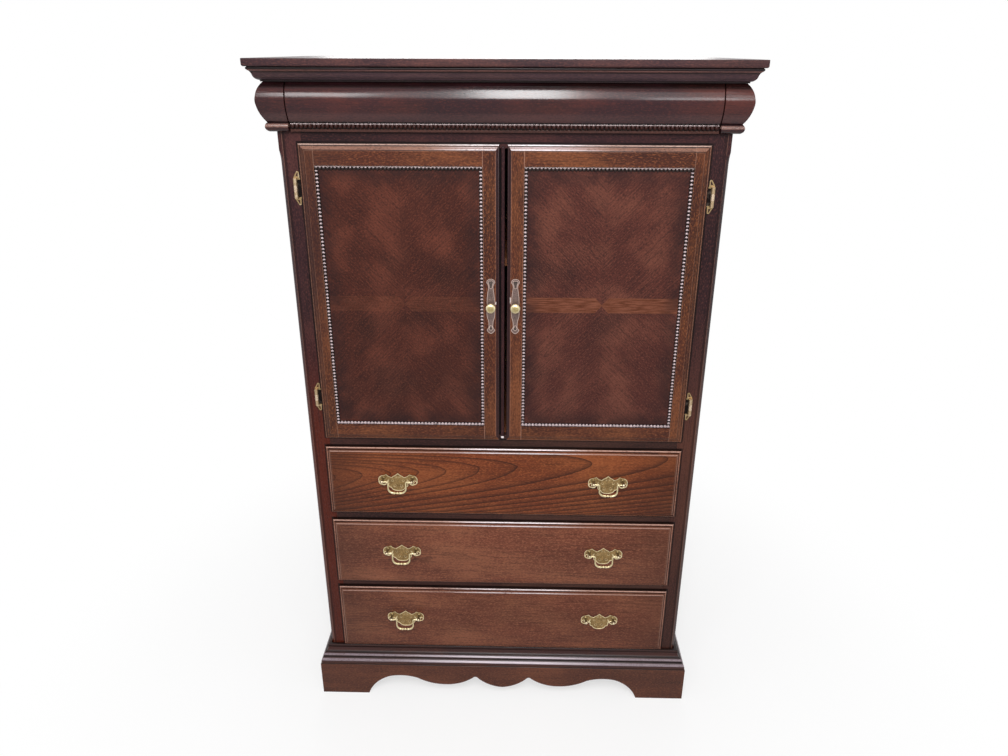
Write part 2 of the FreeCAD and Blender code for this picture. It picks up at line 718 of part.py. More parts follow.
def door_leaf(level):
    """Door leaf with the middle knuckle, and the mortise that it needs in the door's edge."""
    half = middle_knuckle_height / 2
    tall = door_leaf_height / 2
    back = barrel_y + barrel_radius - leaf_gap
    front = back - door_leaf_thickness
    hub = Part.makeCylinder(
        barrel_radius, middle_knuckle_height, Vector(barrel_x, barrel_y, level - half))
    web = box(door_outer, barrel_x, front, back, level - half, level + half)
    clear = barrel_x - barrel_radius - leaf_gap
    plate = box(door_outer - mortise_depth, clear, front, back, level - tall, level + tall)
    bore = Part.makeCylinder(
        pin_radius + pin_play, barrel_height, Vector(barrel_x, barrel_y, level - barrel_height / 2))
    mortise = box(
        door_outer - mortise_depth - mortise_gap, door_outer + cut_overrun, front - mortise_gap,
        back + mortise_gap, level - tall - mortise_gap, level + tall + mortise_gap)
    return fused(hub, web, plate).cut(bore), mortise


def frame_leaf(level):
    """Frame leaf: a plate with an open loop at each end, the outer knuckles and the pin."""
    half, middle = barrel_height / 2, middle_knuckle_height / 2 + knuckle_gap
    x0 = barrel_x + barrel_radius - leaf_width
    plate = box(x0, x0 + leaf_width, -leaf_thickness, 0, level - half, level + half)
    loop_height = (hinge_height - barrel_height) / 2
    parts = [plate]
    for way in (-1, 1):
        def place(across, up):
            return Vector(x0 + across * leaf_width, 0, level + way * (half + up * loop_height))

        loop = closed_face(hinge_loop_start_shares, hinge_loop_shares, place)
        eye = closed_face(hinge_eye_start_shares, hinge_eye_shares, place)
        parts.append(loop.cut(eye).extrude(Vector(0, -leaf_thickness, 0)))
        foot = level + (middle if way > 0 else -half)
        parts.append(Part.makeCylinder(
            barrel_radius, half - middle, Vector(barrel_x, barrel_y, foot)))
        parts.append(box(
            barrel_x, barrel_x + barrel_radius, -leaf_thickness, barrel_y, foot, foot + half - middle))
    parts.append(Part.makeCylinder(
        pin_radius, barrel_height, Vector(barrel_x, barrel_y, level - half)))
    return fused(*parts)


def fitting_pieces():
    """Frame halves of the hinges, the shelf and its pins."""
    pieces["hinge_frame_leaves"] = [
        on_side(frame_leaf(level), side) for side in (-1, 1) for level in hinge_levels[side]]
    half = inner_half - shelf_side_gap
    pieces["adjustable_shelf"] = [box(
        -half, half, shelf_front, shelf_back, shelf_bottom, shelf_bottom + panel_thickness)]
    pins = []
    for depth in shelf_pin_depths:
        pins += both_sides(Part.makeCylinder(
            shelf_pin_radius, shelf_pin_seat + shelf_pin_reach,
            Vector(inner_half - shelf_pin_reach, depth, shelf_pin_level), Vector(1, 0, 0)))
    pieces["shelf_pins"] = pins


shelf_front = frame_thickness + shelf_setback
shelf_back = back_face - shelf_back_gap
shelf_pin_depths = (shelf_front + shelf_pin_setback, shelf_back - shelf_pin_setback)
shelf_bottom = door_opening_bottom + shelf_height
shelf_pin_level = shelf_bottom - shelf_pin_radius

case_pieces()
moulding_pieces()
bail_shape = bail()
for drawer in drawer_fronts:
    drawer_pieces(drawer, bail_shape)
runner_pieces()
frieze_drawer_pieces()
for hand in (-1, 1):
    door_pieces(hand)
astragal_piece()
fitting_pieces()

os.makedirs("parts", exist_ok=True)
shift = Vector(0, (top_overhang - case_depth) / 2, 0)
for node, solids in pieces.items():
    shape = solids[0] if len(solids) == 1 else Part.makeCompound(solids)
    shape = shape.translated(shift)
    shape.exportStep("parts/" + node + ".step")
    print(node, len(shape.Solids), round(shape.Volume), shape.isValid())
print("nodes", len(pieces), "height", overall_height, "depth", overall_depth)
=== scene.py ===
"""Finished model of a tall cabinet: two panelled doors, three drawers and a hidden frieze drawer.

Lengths are metres, with X to the right, Y to the back and Z up. The construction comes packed as a
fixed frame, and each class here makes the finished pieces of one sub-assembly around it.
"""
from __future__ import annotations

import json
import logging
import math
from collections.abc import Callable, Sequence
from dataclasses import dataclass
from enum import Enum
from itertools import product

import bmesh
import bpy
from mathutils import Matrix, Vector


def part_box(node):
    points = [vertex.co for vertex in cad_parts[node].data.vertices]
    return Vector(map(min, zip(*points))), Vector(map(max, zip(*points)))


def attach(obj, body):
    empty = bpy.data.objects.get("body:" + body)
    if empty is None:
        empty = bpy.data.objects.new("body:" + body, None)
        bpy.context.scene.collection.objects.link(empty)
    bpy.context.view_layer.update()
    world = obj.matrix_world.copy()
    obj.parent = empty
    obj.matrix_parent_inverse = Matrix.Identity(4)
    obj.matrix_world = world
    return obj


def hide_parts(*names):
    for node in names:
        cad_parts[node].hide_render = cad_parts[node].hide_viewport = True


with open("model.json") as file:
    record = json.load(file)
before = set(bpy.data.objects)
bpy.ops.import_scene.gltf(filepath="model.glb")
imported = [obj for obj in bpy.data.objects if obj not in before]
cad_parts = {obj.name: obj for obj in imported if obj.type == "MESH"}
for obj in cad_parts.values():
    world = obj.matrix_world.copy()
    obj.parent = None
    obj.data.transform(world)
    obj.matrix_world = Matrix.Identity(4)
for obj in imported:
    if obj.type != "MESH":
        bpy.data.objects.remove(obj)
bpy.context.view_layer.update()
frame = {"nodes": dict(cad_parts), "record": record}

log = logging.getLogger("cabinet")

MM = 0.001
FACE_Y = -232.9 * MM
FRONT_Y = FACE_Y - 12.0 * MM
CASE_HALF = 495.5 * MM
SHADOW_GLAZE = "080404"
DOOR_EDGE = 14.4
MEETING_EDGE = 9.0
BEAD_WIDTH = 8.0 * MM
PEARL_PITCH = 8.4 * MM
FILLET_HEIGHT = 5.6 * MM
TOP_ROW_DROP = 1.5 * MM
WOOD_RELIEF = 0.10 * MM
LACQUER_IOR = 1.45
MITRE_SOFT = 0.2 * MM
LOW_TONE_FROM, LOW_TONE_FULL = 1.20, 0.78
END_SHADE_FROM, END_SHADE_FULL = 0.30, 0.46
WORN_PALE, UPPER_LEFT_DARK = "e6dad6", "241416"
ARC_STEP = 0.22
# Where the painted highlights along the fronts' top edges and along the base moulding are
# brightest, and how they fade towards the ends.
LIT_MIDDLE = 32 * MM
LIT_NEAR, LIT_FAR = 50 * MM, 220 * MM
BASE_LIT_NEAR, BASE_LIT_FAR = 40 * MM, 400 * MM
UPPER_LEFT_X, UPPER_LEFT_Z = (-0.30, -0.44), (0.95, 1.30)
TOUCHING, SPECK, NODE_TOUCHING = 0.001 * MM, 0.0005 * MM, 0.002 * MM
NEARLY_FLAT = math.radians(0.4)
SOFTENED_FROM = math.radians(38.0)
WHITE = (1.0, 1.0, 1.0, 1.0)

BODY_OF = {
    node: body for body, nodes in frame["record"]["behaviour"]["bodies"].items() for node in nodes}
SLOT_OF = {part["node"]: part["material_slot"] for part in frame["record"]["subparts"]}

Outline = list[tuple[float, ...]]
Operand = "Value | float"


class Side(Enum):
    """Left or right half of the cabinet, as the sign of X."""

    LEFT = -1
    RIGHT = 1

    @property
    def word(self) -> str:
        """The side's name as the nodes spell it."""
        return self.name.lower()


class Grain(Enum):
    """Direction in which a board's fibres run."""

    ACROSS = "x"
    DEEP = "y"
    UPRIGHT = "z"
    MITRED = "x in front of the mitre, y behind it"


class Figure(Enum):
    """Pattern that the growth rings make on a board's face."""

    PLAIN = "fine straight lines"
    CATHEDRAL = "nested arches"
    WAVY = "long wavy lines"


class Edge(Enum):
    """Part of a front's rim that can have lines of its own."""

    SIDE = "left and right"
    MEETING = "side next to the middle"
    TOP = "top"
    FOOT = "bottom"
    # Painted highlight: the lamp's reflection along a front's top edge, brightest near the
    # cabinet's middle.
    LIT = "top, near the cabinet's middle, over the other lines"


def joined(operation: str, flipped: bool = False) -> Callable[[Value, Operand], Value]:
    """Method that joins a value and an operand by a Math node, the operand first if flipped."""
    def method(self: Value, other: Operand) -> Value:
        """The Math node's result."""
        return self.math(operation, *((other, self) if flipped else (self, other)))

    return method


class Value:
    """Output of a shader node that takes part in an expression."""

    __add__, __radd__ = joined("ADD"), joined("ADD", flipped=True)
    __sub__, __rsub__ = joined("SUBTRACT"), joined("SUBTRACT", flipped=True)
    __mul__, __rmul__ = joined("MULTIPLY"), joined("MULTIPLY", flipped=True)
    __truediv__, __pow__ = joined("DIVIDE"), joined("POWER")
    least, most, over = joined("MINIMUM"), joined("MAXIMUM"), joined("GREATER_THAN")

    def __init__(self, sheet: Sheet, socket: bpy.types.NodeSocket) -> None:
        """Wraps one output socket of a node on a sheet."""
        self.sheet = sheet
        self.socket = socket

    def math(self, operation: str, *operands: Operand) -> Value:
        """Adds a Math node with its operands in order."""
        return self.sheet.node("Math", dict(enumerate(operands)), {"operation": operation})

    def __abs__(self) -> Value:
        """Distance from zero."""
        return self.math("ABSOLUTE", self)

    def fraction(self) -> Value:
        """What is left after the whole number below."""
        return self.math("FRACT", self)

    def step(self, low: float, high: float) -> Value:
        """Smooth step from 0 at low to 1 at high, where low may be the larger."""
        sockets = {0: self, 1: low, 2: high, 3: 0.0, 4: 1.0}
        return self.sheet.node("MapRange", sockets, {"interpolation_type": "SMOOTHSTEP"})

    def band(self, low: float, high: float, soft: float) -> Value:
        """1 between two limits, with soft edges."""
        return self.step(low - soft, low + soft) * self.step(high + soft, high - soft)


def colour(code: str) -> tuple[float, float, float, float]:
    """Scene colour of a six-digit screen colour."""
    channels = [int(code[at:at + 2], 16) / 255 for at in (0, 2, 4)]
    linear = [c / 12.92 if c <= 0.04045 else ((c + 0.055) / 1.055) ** 2.4 for c in channels]
    return (*linear, 1.0)


class Sheet:
    """Node tree of one material or of the world."""

    def __init__(self, owner: bpy.types.Material | bpy.types.World) -> None:
        """Starts with an empty tree."""
        self.owner = owner
        owner.use_nodes = True
        self.tree = owner.node_tree
        self.tree.nodes.clear()

    def node(
            self, kind: str, sockets: dict[int | str, object] | None = None,
            settings: dict[str, object] | None = None, out: int | str = 0) -> Value:
        """Adds a node of any kind.

        Args:
            kind: The node's type, without its ShaderNode prefix.
            sockets: Values, numbers or colours for its inputs.
            settings: Properties to set first.
            out: The output to return.

        Returns:
            That output, or the first input of a node that has no outputs.
        """
        made = self.tree.nodes.new("ShaderNode" + kind)
        for name, setting in (settings or {}).items():
            setattr(made, name, setting)
        for name, value in (sockets or {}).items():
            if isinstance(value, Value):
                self.tree.links.new(value.socket, made.inputs[name])
            else:
                made.inputs[name].default_value = value
        return Value(self, (made.outputs or made.inputs)[out])

    def point(self) -> tuple[Value, Value, Value]:
        """X, Y and Z of the surface point in metres, in the cabinet's frame."""
        split = self.node("SeparateXYZ", {0: self.node("TexCoord", out="Object")})
        outputs = split.socket.node.outputs
        return tuple(Value(self, outputs[axis]) for axis in "XYZ")

    def noise(
            self, x: Operand, y: Operand, z: Operand, detail: float = 2.0,
            roughness: float = 0.5, scale: float = 1.0) -> Value:
        """Smooth noise about 0.5 that changes over one unit of the scaled coordinates."""
        where = self.node("CombineXYZ", {0: x, 1: y, 2: z})
        sockets = {"Vector": where, "Scale": scale, "Detail": detail, "Roughness": roughness}
        return self.node("TexNoise", sockets, out="Fac")

    def mix(self, share: Operand, first: object, second: object) -> Value:
        """Colour between two, each a value, a scene colour or a screen colour's code."""
        first, second = (colour(end) if isinstance(end, str) else end for end in (first, second))
        return self.node("Mix", {0: share, 6: first, 7: second}, {"data_type": "RGBA"}, out=2)

    def coats(self, tone: object, *coats: tuple[Operand, object]) -> Value:
        """Colour with coats, each a share and a colour, laid over it in turn."""
        for share, coat in coats:
            tone = self.mix(share, tone, coat)
        return tone

    def choose(self, share: Operand, first: Value, second: Value) -> Value:
        """Number between two numbers."""
        return first + (second - first) * share

    def finish(
            self, relief: Value, depth: float, strength: float,
            **sockets: object) -> bpy.types.Material:
        """Ends the sheet with a Principled surface.

        Args:
            relief: Height of the surface's small relief.
            depth: The relief's depth in metres.
            strength: How much of it shows.
            sockets: The surface's other inputs by name, with _ for spaces.

        Returns:
            The material.
        """
        sockets["Normal"] = self.node(
            "Bump", {"Strength": strength, "Distance": depth, "Height": relief}, out="Normal")
        named = {name.replace("_", " "): value for name, value in sockets.items()}
        self.node("OutputMaterial", {"Surface": self.node("BsdfPrincipled", named, out="BSDF")})
        return self.owner


@dataclass(frozen=True)
class Line:
    """Line of painted shade, painted highlight, glaze or wear between two distances or levels, in
    millimetres.
    """

    start: float
    stop: float
    tone: str
    strength: float
    soft: float = 0.5

    def laid(self, sheet: Sheet, tone: Value, measure: Value, broken: Operand = 1.0) -> Value:
        """Lays the line over a colour.

        Args:
            sheet: The material's nodes.
            tone: The colour under it.
            measure: The distance or level in metres.
            broken: How much of the line is left at each place.

        Returns:
            The colour with the line on it.
        """
        share = measure.band(self.start * MM, self.stop * MM, self.soft * MM)
        return sheet.mix(share * self.strength * broken, tone, self.tone)


PANEL_TONES = {
    Side.LEFT: ("190a08", "391810", "643527"), Side.RIGHT: ("1c0d0d", "421f19", "6c3f31")}
BAND_STRENGTH = {Side.LEFT: 0.2, Side.RIGHT: 0.8}
LIP_SHADE = (-6.0, 0.5)
LATE_WOOD = {Figure.CATHEDRAL: (0.86, "1c0c08"), Figure.WAVY: (0.46, "160a08")}
# Rim lines of the fronts: the dark lines are painted shade in the quirks, steps and gaps, with
# glaze in them; the light lines are wear on the roundings, on the top edges also a painted
# highlight; the LIT lines are painted highlights only.
DRAWER_RIM = {
    Edge.SIDE: (
        Line(-1.0, 0.3, SHADOW_GLAZE, 0.8), Line(2.6, 4.2, "a07868", 0.75),
        Line(5.9, 7.2, SHADOW_GLAZE, 0.85), Line(7.9, 10.4, "8c6657", 0.65),
        Line(10.8, 11.7, SHADOW_GLAZE, 0.85, 0.3), Line(12.1, 12.9, "7c5646", 0.55, 0.3)),
    Edge.TOP: (
        Line(0.6, 3.4, "b08c7e", 0.90), Line(4.2, 6.6, "0e0707", 0.92, 0.3),
        Line(7.2, 8.8, "5e3a2c", 0.60, 0.3), Line(9.3, 11.7, "b08c7e", 0.85),
        Line(12.2, 13.0, SHADOW_GLAZE, 0.5, 0.3)),
    Edge.LIT: (
        Line(0.6, 3.4, "eee8ec", 0.92), Line(9.3, 11.7, "ddd5d9", 0.88)),
    Edge.FOOT: (Line(0.2, 1.9, "a07a68", 0.75, 0.3),)}
DOOR_RIM = {
    Edge.SIDE: (
        Line(-1.0, 0.3, SHADOW_GLAZE, 0.8), Line(2.0, 3.4, "86604f", 0.65),
        Line(4.2, 5.8, SHADOW_GLAZE, 0.80), Line(13.0, 14.3, SHADOW_GLAZE, 0.80, 0.3),
        Line(14.6, 15.6, "7a5546", 0.50, 0.3)),
    Edge.TOP: (
        Line(0.2, 3.2, "b4968a", 0.90), Line(3.5, 5.3, SHADOW_GLAZE, 0.85, 0.3),
        Line(5.8, 12.6, "8a6454", 0.60, 0.8), Line(13.0, 14.4, SHADOW_GLAZE, 0.75, 0.3),
        Line(14.7, 15.6, "8a6352", 0.5, 0.3)),
    Edge.LIT: (
        Line(0.2, 3.2, "ece6ea", 0.92), Line(5.8, 8.8, "a8989a", 0.80),
        Line(9.8, 12.6, "d0c6ca", 0.88)),
    # Meeting edge: painted shade over the moulding next to the gap, then a light worn line.
    Edge.MEETING: (
        Line(-1.0, 12.8, "221920", 0.85), Line(13.6, 15.4, "8a5c48", 0.70, 0.4)),
    Edge.FOOT: (Line(0.2, 1.9, "946c5c", 0.70, 0.3),)}
WORN_SPOTS = ((-17.3, 1195.0, 1.1, 4.0), (16.9, 1202.0, 0.9, 8.0))
# Painted highlights: light lines where the door stiles meet the rails.
DOOR_JOINT_HIGHLIGHTS = (Line(45.0, 46.8, "a07866", 0.50, 0.3), Line(417.8, 419.4, "94705e", 0.40, 0.3))
# Cornice lines: painted shade under the top slab and in the undercuts, painted highlights on the
# fillet and the lower cyma, and a darker band over the cyma.
CROWN_LINES = (
    Line(1680.0, 1683.6, SHADOW_GLAZE, 0.9), Line(1684.8, 1688.0, "524248", 0.7),
    Line(1689.0, 1699.0, "3a282c", 0.4, 1.5), Line(1699.4, 1701.2, SHADOW_GLAZE, 0.9),
    Line(1701.8, 1704.8, "684640", 0.8), Line(1705.6, 1711.8, SHADOW_GLAZE, 0.9))
# Frieze lines: painted shade below and above the half-round and on the cushion's top under the
# cornice; painted highlights on the half-round and on the cushion's lower curve.
FRIEZE_LINES = (
    Line(1578.0, 1580.5, SHADOW_GLAZE, 0.8), Line(1589.0, 1595.5, "8c6a60", 0.65, 1.0),
    Line(1597.2, 1600.4, SHADOW_GLAZE, 0.85), Line(1603.0, 1618.0, "4e3534", 0.40, 5.0),
    Line(1669.0, 1684.0, SHADOW_GLAZE, 0.92, 4.0))
# Base lines: painted shade in and under the moulding's steps, a broad darker band over the
# moulding, and painted highlights on its upward-facing rounds; the BASE_LIT_LINES add the brightest
# part of those highlights near the middle.
BASE_LIT_LINES = (Line(117.5, 122.5, "d8ccd4", 0.85, 1.0), Line(131.2, 136.0, "d8ccd4", 0.80, 1.0))
BASE_LINES = (
    Line(105.8, 108.6, SHADOW_GLAZE, 0.85), Line(109.5, 160.5, "281a1f", 0.70, 1.0),
    Line(116.5, 123.0, "a3959d", 0.62, 1.0), Line(124.4, 129.4, SHADOW_GLAZE, 0.9),
    Line(130.6, 136.4, "a3959d", 0.62, 1.0), Line(137.6, 141.5, SHADOW_GLAZE, 0.8),
    Line(152.6, 155.4, SHADOW_GLAZE, 0.75),
    Line(158.6, 161.0, SHADOW_GLAZE, 0.9))


@dataclass(frozen=True)
class Rim:
    """Lines that run round a front, at distances inside its outer edge."""

    left: float
    right: float
    bottom: float
    top: float
    lines: dict[Edge, tuple[Line, ...]]
    narrow: float

    @classmethod
    def of(
            cls, nodes: Sequence[str], lines: dict[Edge, tuple[Line, ...]],
            narrow: float = 1.0) -> Rim:
        """Rim of the box round some nodes.

        Args:
            nodes: The nodes, on the right where there is a mirror image.
            lines: Its lines by edge; the edges left out take those of the sides.
            narrow: How much narrower the rim is next to the middle; 1 for no mirror image.

        Returns:
            The rim.
        """
        low, high = zip(*(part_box(node) for node in nodes))
        return cls(
            min(corner[0] for corner in low), max(corner[0] for corner in high),
            min(corner[2] for corner in low), max(corner[2] for corner in high), lines, narrow)

    def laid(self, sheet: Sheet, tone: Value, x: Value, z: Value, broken: Value) -> Value:
        """Lays every line over a colour.

        Args:
            sheet: The material's nodes.
            tone: The colour under them.
            x: The point's X.
            z: The point's Z.
            broken: How much of the lines is left at each place.

        Returns:
            The colour with the lines on it.
        """
        right = abs(x) if self.narrow != 1.0 else x
        inner, outer = (right - self.left) * self.narrow, self.right - right
        beside = inner.least(outer)
        above, below = self.top - z, z - self.bottom
        on_top = (beside.least(below) - above).step(-MITRE_SOFT, MITRE_SOFT)
        on_foot = (beside.least(above) - below).step(-MITRE_SOFT, MITRE_SOFT)
        on_side = (1.0 - on_top) * (1.0 - on_foot)
        on_meeting = (outer - inner).step(-MITRE_SOFT, MITRE_SOFT) * on_side
        # painted highlight along the top edge, brightest near the middle
        lit = abs(x - LIT_MIDDLE).step(LIT_FAR, LIT_NEAR)
        sides = self.lines[Edge.SIDE]
        for lines, distance, share in (
                (sides, outer, on_side - on_meeting),
                (self.lines.get(Edge.MEETING, sides), inner, on_meeting),
                (self.lines.get(Edge.TOP, sides), above, on_top),
                (self.lines.get(Edge.FOOT, sides), below, on_foot),
                (self.lines.get(Edge.LIT, ()), above, on_top * lit)):
            for line in lines:
                tone = line.laid(sheet, tone, distance, broken * share)
        return tone


@dataclass(frozen=True)
class Finish:
    """A finish by its name, made as a procedural material."""

    name: str

    def build(self) -> bpy.types.Material:
        """Makes the material."""
        sheet = Sheet(bpy.data.materials.new(self.name))
        return self.laid(sheet, *sheet.point())

    def laid(self, sheet: Sheet, x: Value, y: Value, z: Value) -> bpy.types.Material:
        """Lays the finish on a sheet, from the surface point's X, Y and Z."""
        raise NotImplementedError


def lacquered(
        sheet: Sheet, fibre: Value, fleck: Value, tone: Value, rough: Value,
        gloss: float) -> bpy.types.Material:
    """Wood under lacquer.

    Args:
        sheet: The material's nodes.
        fibre: Height of the fibres.
        fleck: Height of the pores.
        tone: Its colour.
        rough: Its roughness.
        gloss: How strongly the lacquer shines.

    Returns:
        The material.
    """
    return sheet.finish(
        fibre * 0.4 + fleck * 0.6, WOOD_RELIEF, 0.6, Base_Color=tone, Roughness=rough,
        IOR=LACQUER_IOR, Specular_IOR_Level=gloss)


@dataclass(frozen=True)
class WoodFinish(Finish):
    """Stained and glazed hardwood under lacquer."""

    grain: Grain
    deep: str
    main: str
    light: str
    figure: Figure = Figure.PLAIN
    seed: float = 0.0
    rough: float = 0.30
    gloss: float = 0.20
    glaze: float = 0.5
    patches: float = 0.6
    speckle: float = 0.62
    end_shade: float = 0.0
    low_tones: tuple[str, str] | None = None
    left_shade: float = 0.0
    rims: tuple[Rim, ...] = ()
    levels: tuple[Line, ...] = ()
    lit_levels: tuple[Line, ...] = ()
    uprights: tuple[Line, ...] = ()
    shaded: tuple[float, float] | None = None
    spots: tuple[tuple[float, float, float, float], ...] = ()

    def _axes(self, sheet: Sheet, x: Value, y: Value, z: Value) -> tuple[Value, Value, Value]:
        """Coordinates along the fibres and two ways across them."""
        if self.grain is Grain.ACROSS:
            return x, z, y
        if self.grain is Grain.UPRIGHT:
            return z, x, y
        if self.grain is Grain.DEEP:
            return y, z, x
        behind = ((abs(x) - CASE_HALF) + (y - FACE_Y)).over(0.0)
        return sheet.choose(behind, x, y), z, sheet.choose(behind, y, x)

    def _arches(self, sheet: Sheet, along: Value, across: Value) -> Value:
        """Late wood of a flat-sawn board whose nested arches point to the right.

        The arches lie close together on the left and further and further apart to the right.
        """
        off = across - (along * 0.075 + 0.7525)
        steep = off * (1.0 + off.over(0.0) * 0.30)
        sway = (sheet.noise(along * 3.0, across * 9.0, self.seed, 1.0) - 0.5) * 0.05
        ripple = sheet.noise(along * 30.0, across * 60.0, self.seed + 2.0, 2.0) - 0.5
        reach = along + steep * steep * 62.0 + sway + ripple * 0.014
        opened = (reach + 0.15).most(0.0) * 0.23 + (reach - 0.037).most(0.0) * 0.389
        turns = (reach - opened) / 0.072 + 0.056
        across_share = ((steep * 124.0) * (steep * 124.0) + 1.0) ** -0.5
        late = turns.fraction()
        crest = late ** (across_share * 16.0).most(1.5)
        faded = sheet.noise(along * 6.0, across * 26.0, self.seed + 5.0, 2.0)
        fine = (turns * 4.0).fraction() ** (across_share * 6.0).most(1.6) * faded.step(0.38, 0.60)
        return crest.most(late ** 2.5 * 0.26).most(fine * 0.30)

    def _lines(self, sheet: Sheet, along: Value, across: Value) -> Value:
        """Late wood of a board with long wavy lines."""
        sway = sheet.noise(along * 3.2, across * 16.0, self.seed, 2.0)
        ripple = sheet.noise(along * 26.0, across * 60.0, self.seed + 2.0, 2.0)
        turns = across * 118.0 + sway * 8.0 + ripple * 0.9
        strength = sheet.noise(along * 4.0, across * 22.0, self.seed + 4.0, 2.0)
        return turns.fraction() ** 3.0 * strength.step(0.38, 0.66)

    def laid(self, sheet: Sheet, x: Value, y: Value, z: Value) -> bpy.types.Material:
        """Lays stain, glaze, figure, then lines of painted shade, painted highlight, glaze and
        wear, in that order, and painted shade on the faces behind the front.
        """
        along, across, through = self._axes(sheet, x, y, z)
        deep, light = self.deep, self.light

        def noise(long: float, wide: float, shift: float, *rest: float) -> Value:
            """Noise with that many waves to the metre along and across the fibres."""
            shifted = through * wide + (self.seed + shift)
            return sheet.noise(along * long, across * wide, shifted, *rest)

        patch, glaze = noise(5.0, 11.0, 0.0, 3.0), noise(2.6, 7.0, 31.0)
        fibre, fleck = noise(13.0, 330.0, 0.0, 2.0, 0.6), noise(170.0, 430.0, 0.0, 2.0, 0.65)
        tone = sheet.mix(patch.step(0.40, 0.68) * self.patches, self.main, light)
        if self.low_tones:
            low = sheet.mix(x.over(0.0), *self.low_tones)
            tone = sheet.mix(z.step(LOW_TONE_FROM, LOW_TONE_FULL), tone, low)
        tone = sheet.coats(
            tone, (glaze.step(0.46, 0.68) * self.glaze, deep),
            (fibre.step(0.48, 0.72) * 0.50, deep),
            (fleck.step(0.48, 0.34) * (self.speckle * 0.7), deep),
            (fleck.step(0.53, 0.64) * self.speckle, light))
        if self.figure is not Figure.PLAIN:
            figure = self._arches if self.figure is Figure.CATHEDRAL else self._lines
            strength, late_tone = LATE_WOOD[self.figure]
            tone = sheet.mix(figure(sheet, along, across) * strength, tone, late_tone)
        if self.end_shade > 0:
            ends = abs(along).step(END_SHADE_FROM, END_SHADE_FULL)
            tone = sheet.mix(ends * self.end_shade, tone, deep)
        # darker towards the upper left of the left door
        if self.left_shade > 0:
            upper_left = x.step(*UPPER_LEFT_X) * z.step(*UPPER_LEFT_Z)
            tone = sheet.mix(upper_left * self.left_shade, tone, UPPER_LEFT_DARK)
        broken = patch.step(0.28, 0.50) * 0.5 + fleck.step(0.30, 0.52) * 0.5
        # painted highlights on the base moulding, brightest near the middle
        lit = abs(x).step(BASE_LIT_FAR, BASE_LIT_NEAR)
        for lines, measure, share in (
                (self.levels, z, broken), (self.lit_levels, z, lit),
                (self.uprights, abs(x), broken)):
            for line in lines:
                tone = line.laid(sheet, tone, measure, share)
        for rim in self.rims:
            tone = rim.laid(sheet, tone, x, z, broken)
        # painted shade: near-black on the faces that lie between two depths behind the front
        if self.shaded:
            near, far = self.shaded
            behind = y.band(FACE_Y + near * MM, FACE_Y + far * MM, 1.0 * MM)
            tone = sheet.mix(behind * 0.92, tone, SHADOW_GLAZE)
        for spot_x, spot_z, half_x, half_z in self.spots:
            off_x, off_z = (x - spot_x * MM) / (half_x * MM), (z - spot_z * MM) / (half_z * MM)
            worn = (off_x * off_x + off_z * off_z).step(1.3, 0.6)
            tone = sheet.mix(worn * 0.9, tone, WORN_PALE)
        return lacquered(sheet, fibre, fleck, tone, self.rough + fleck * 0.10, self.gloss)


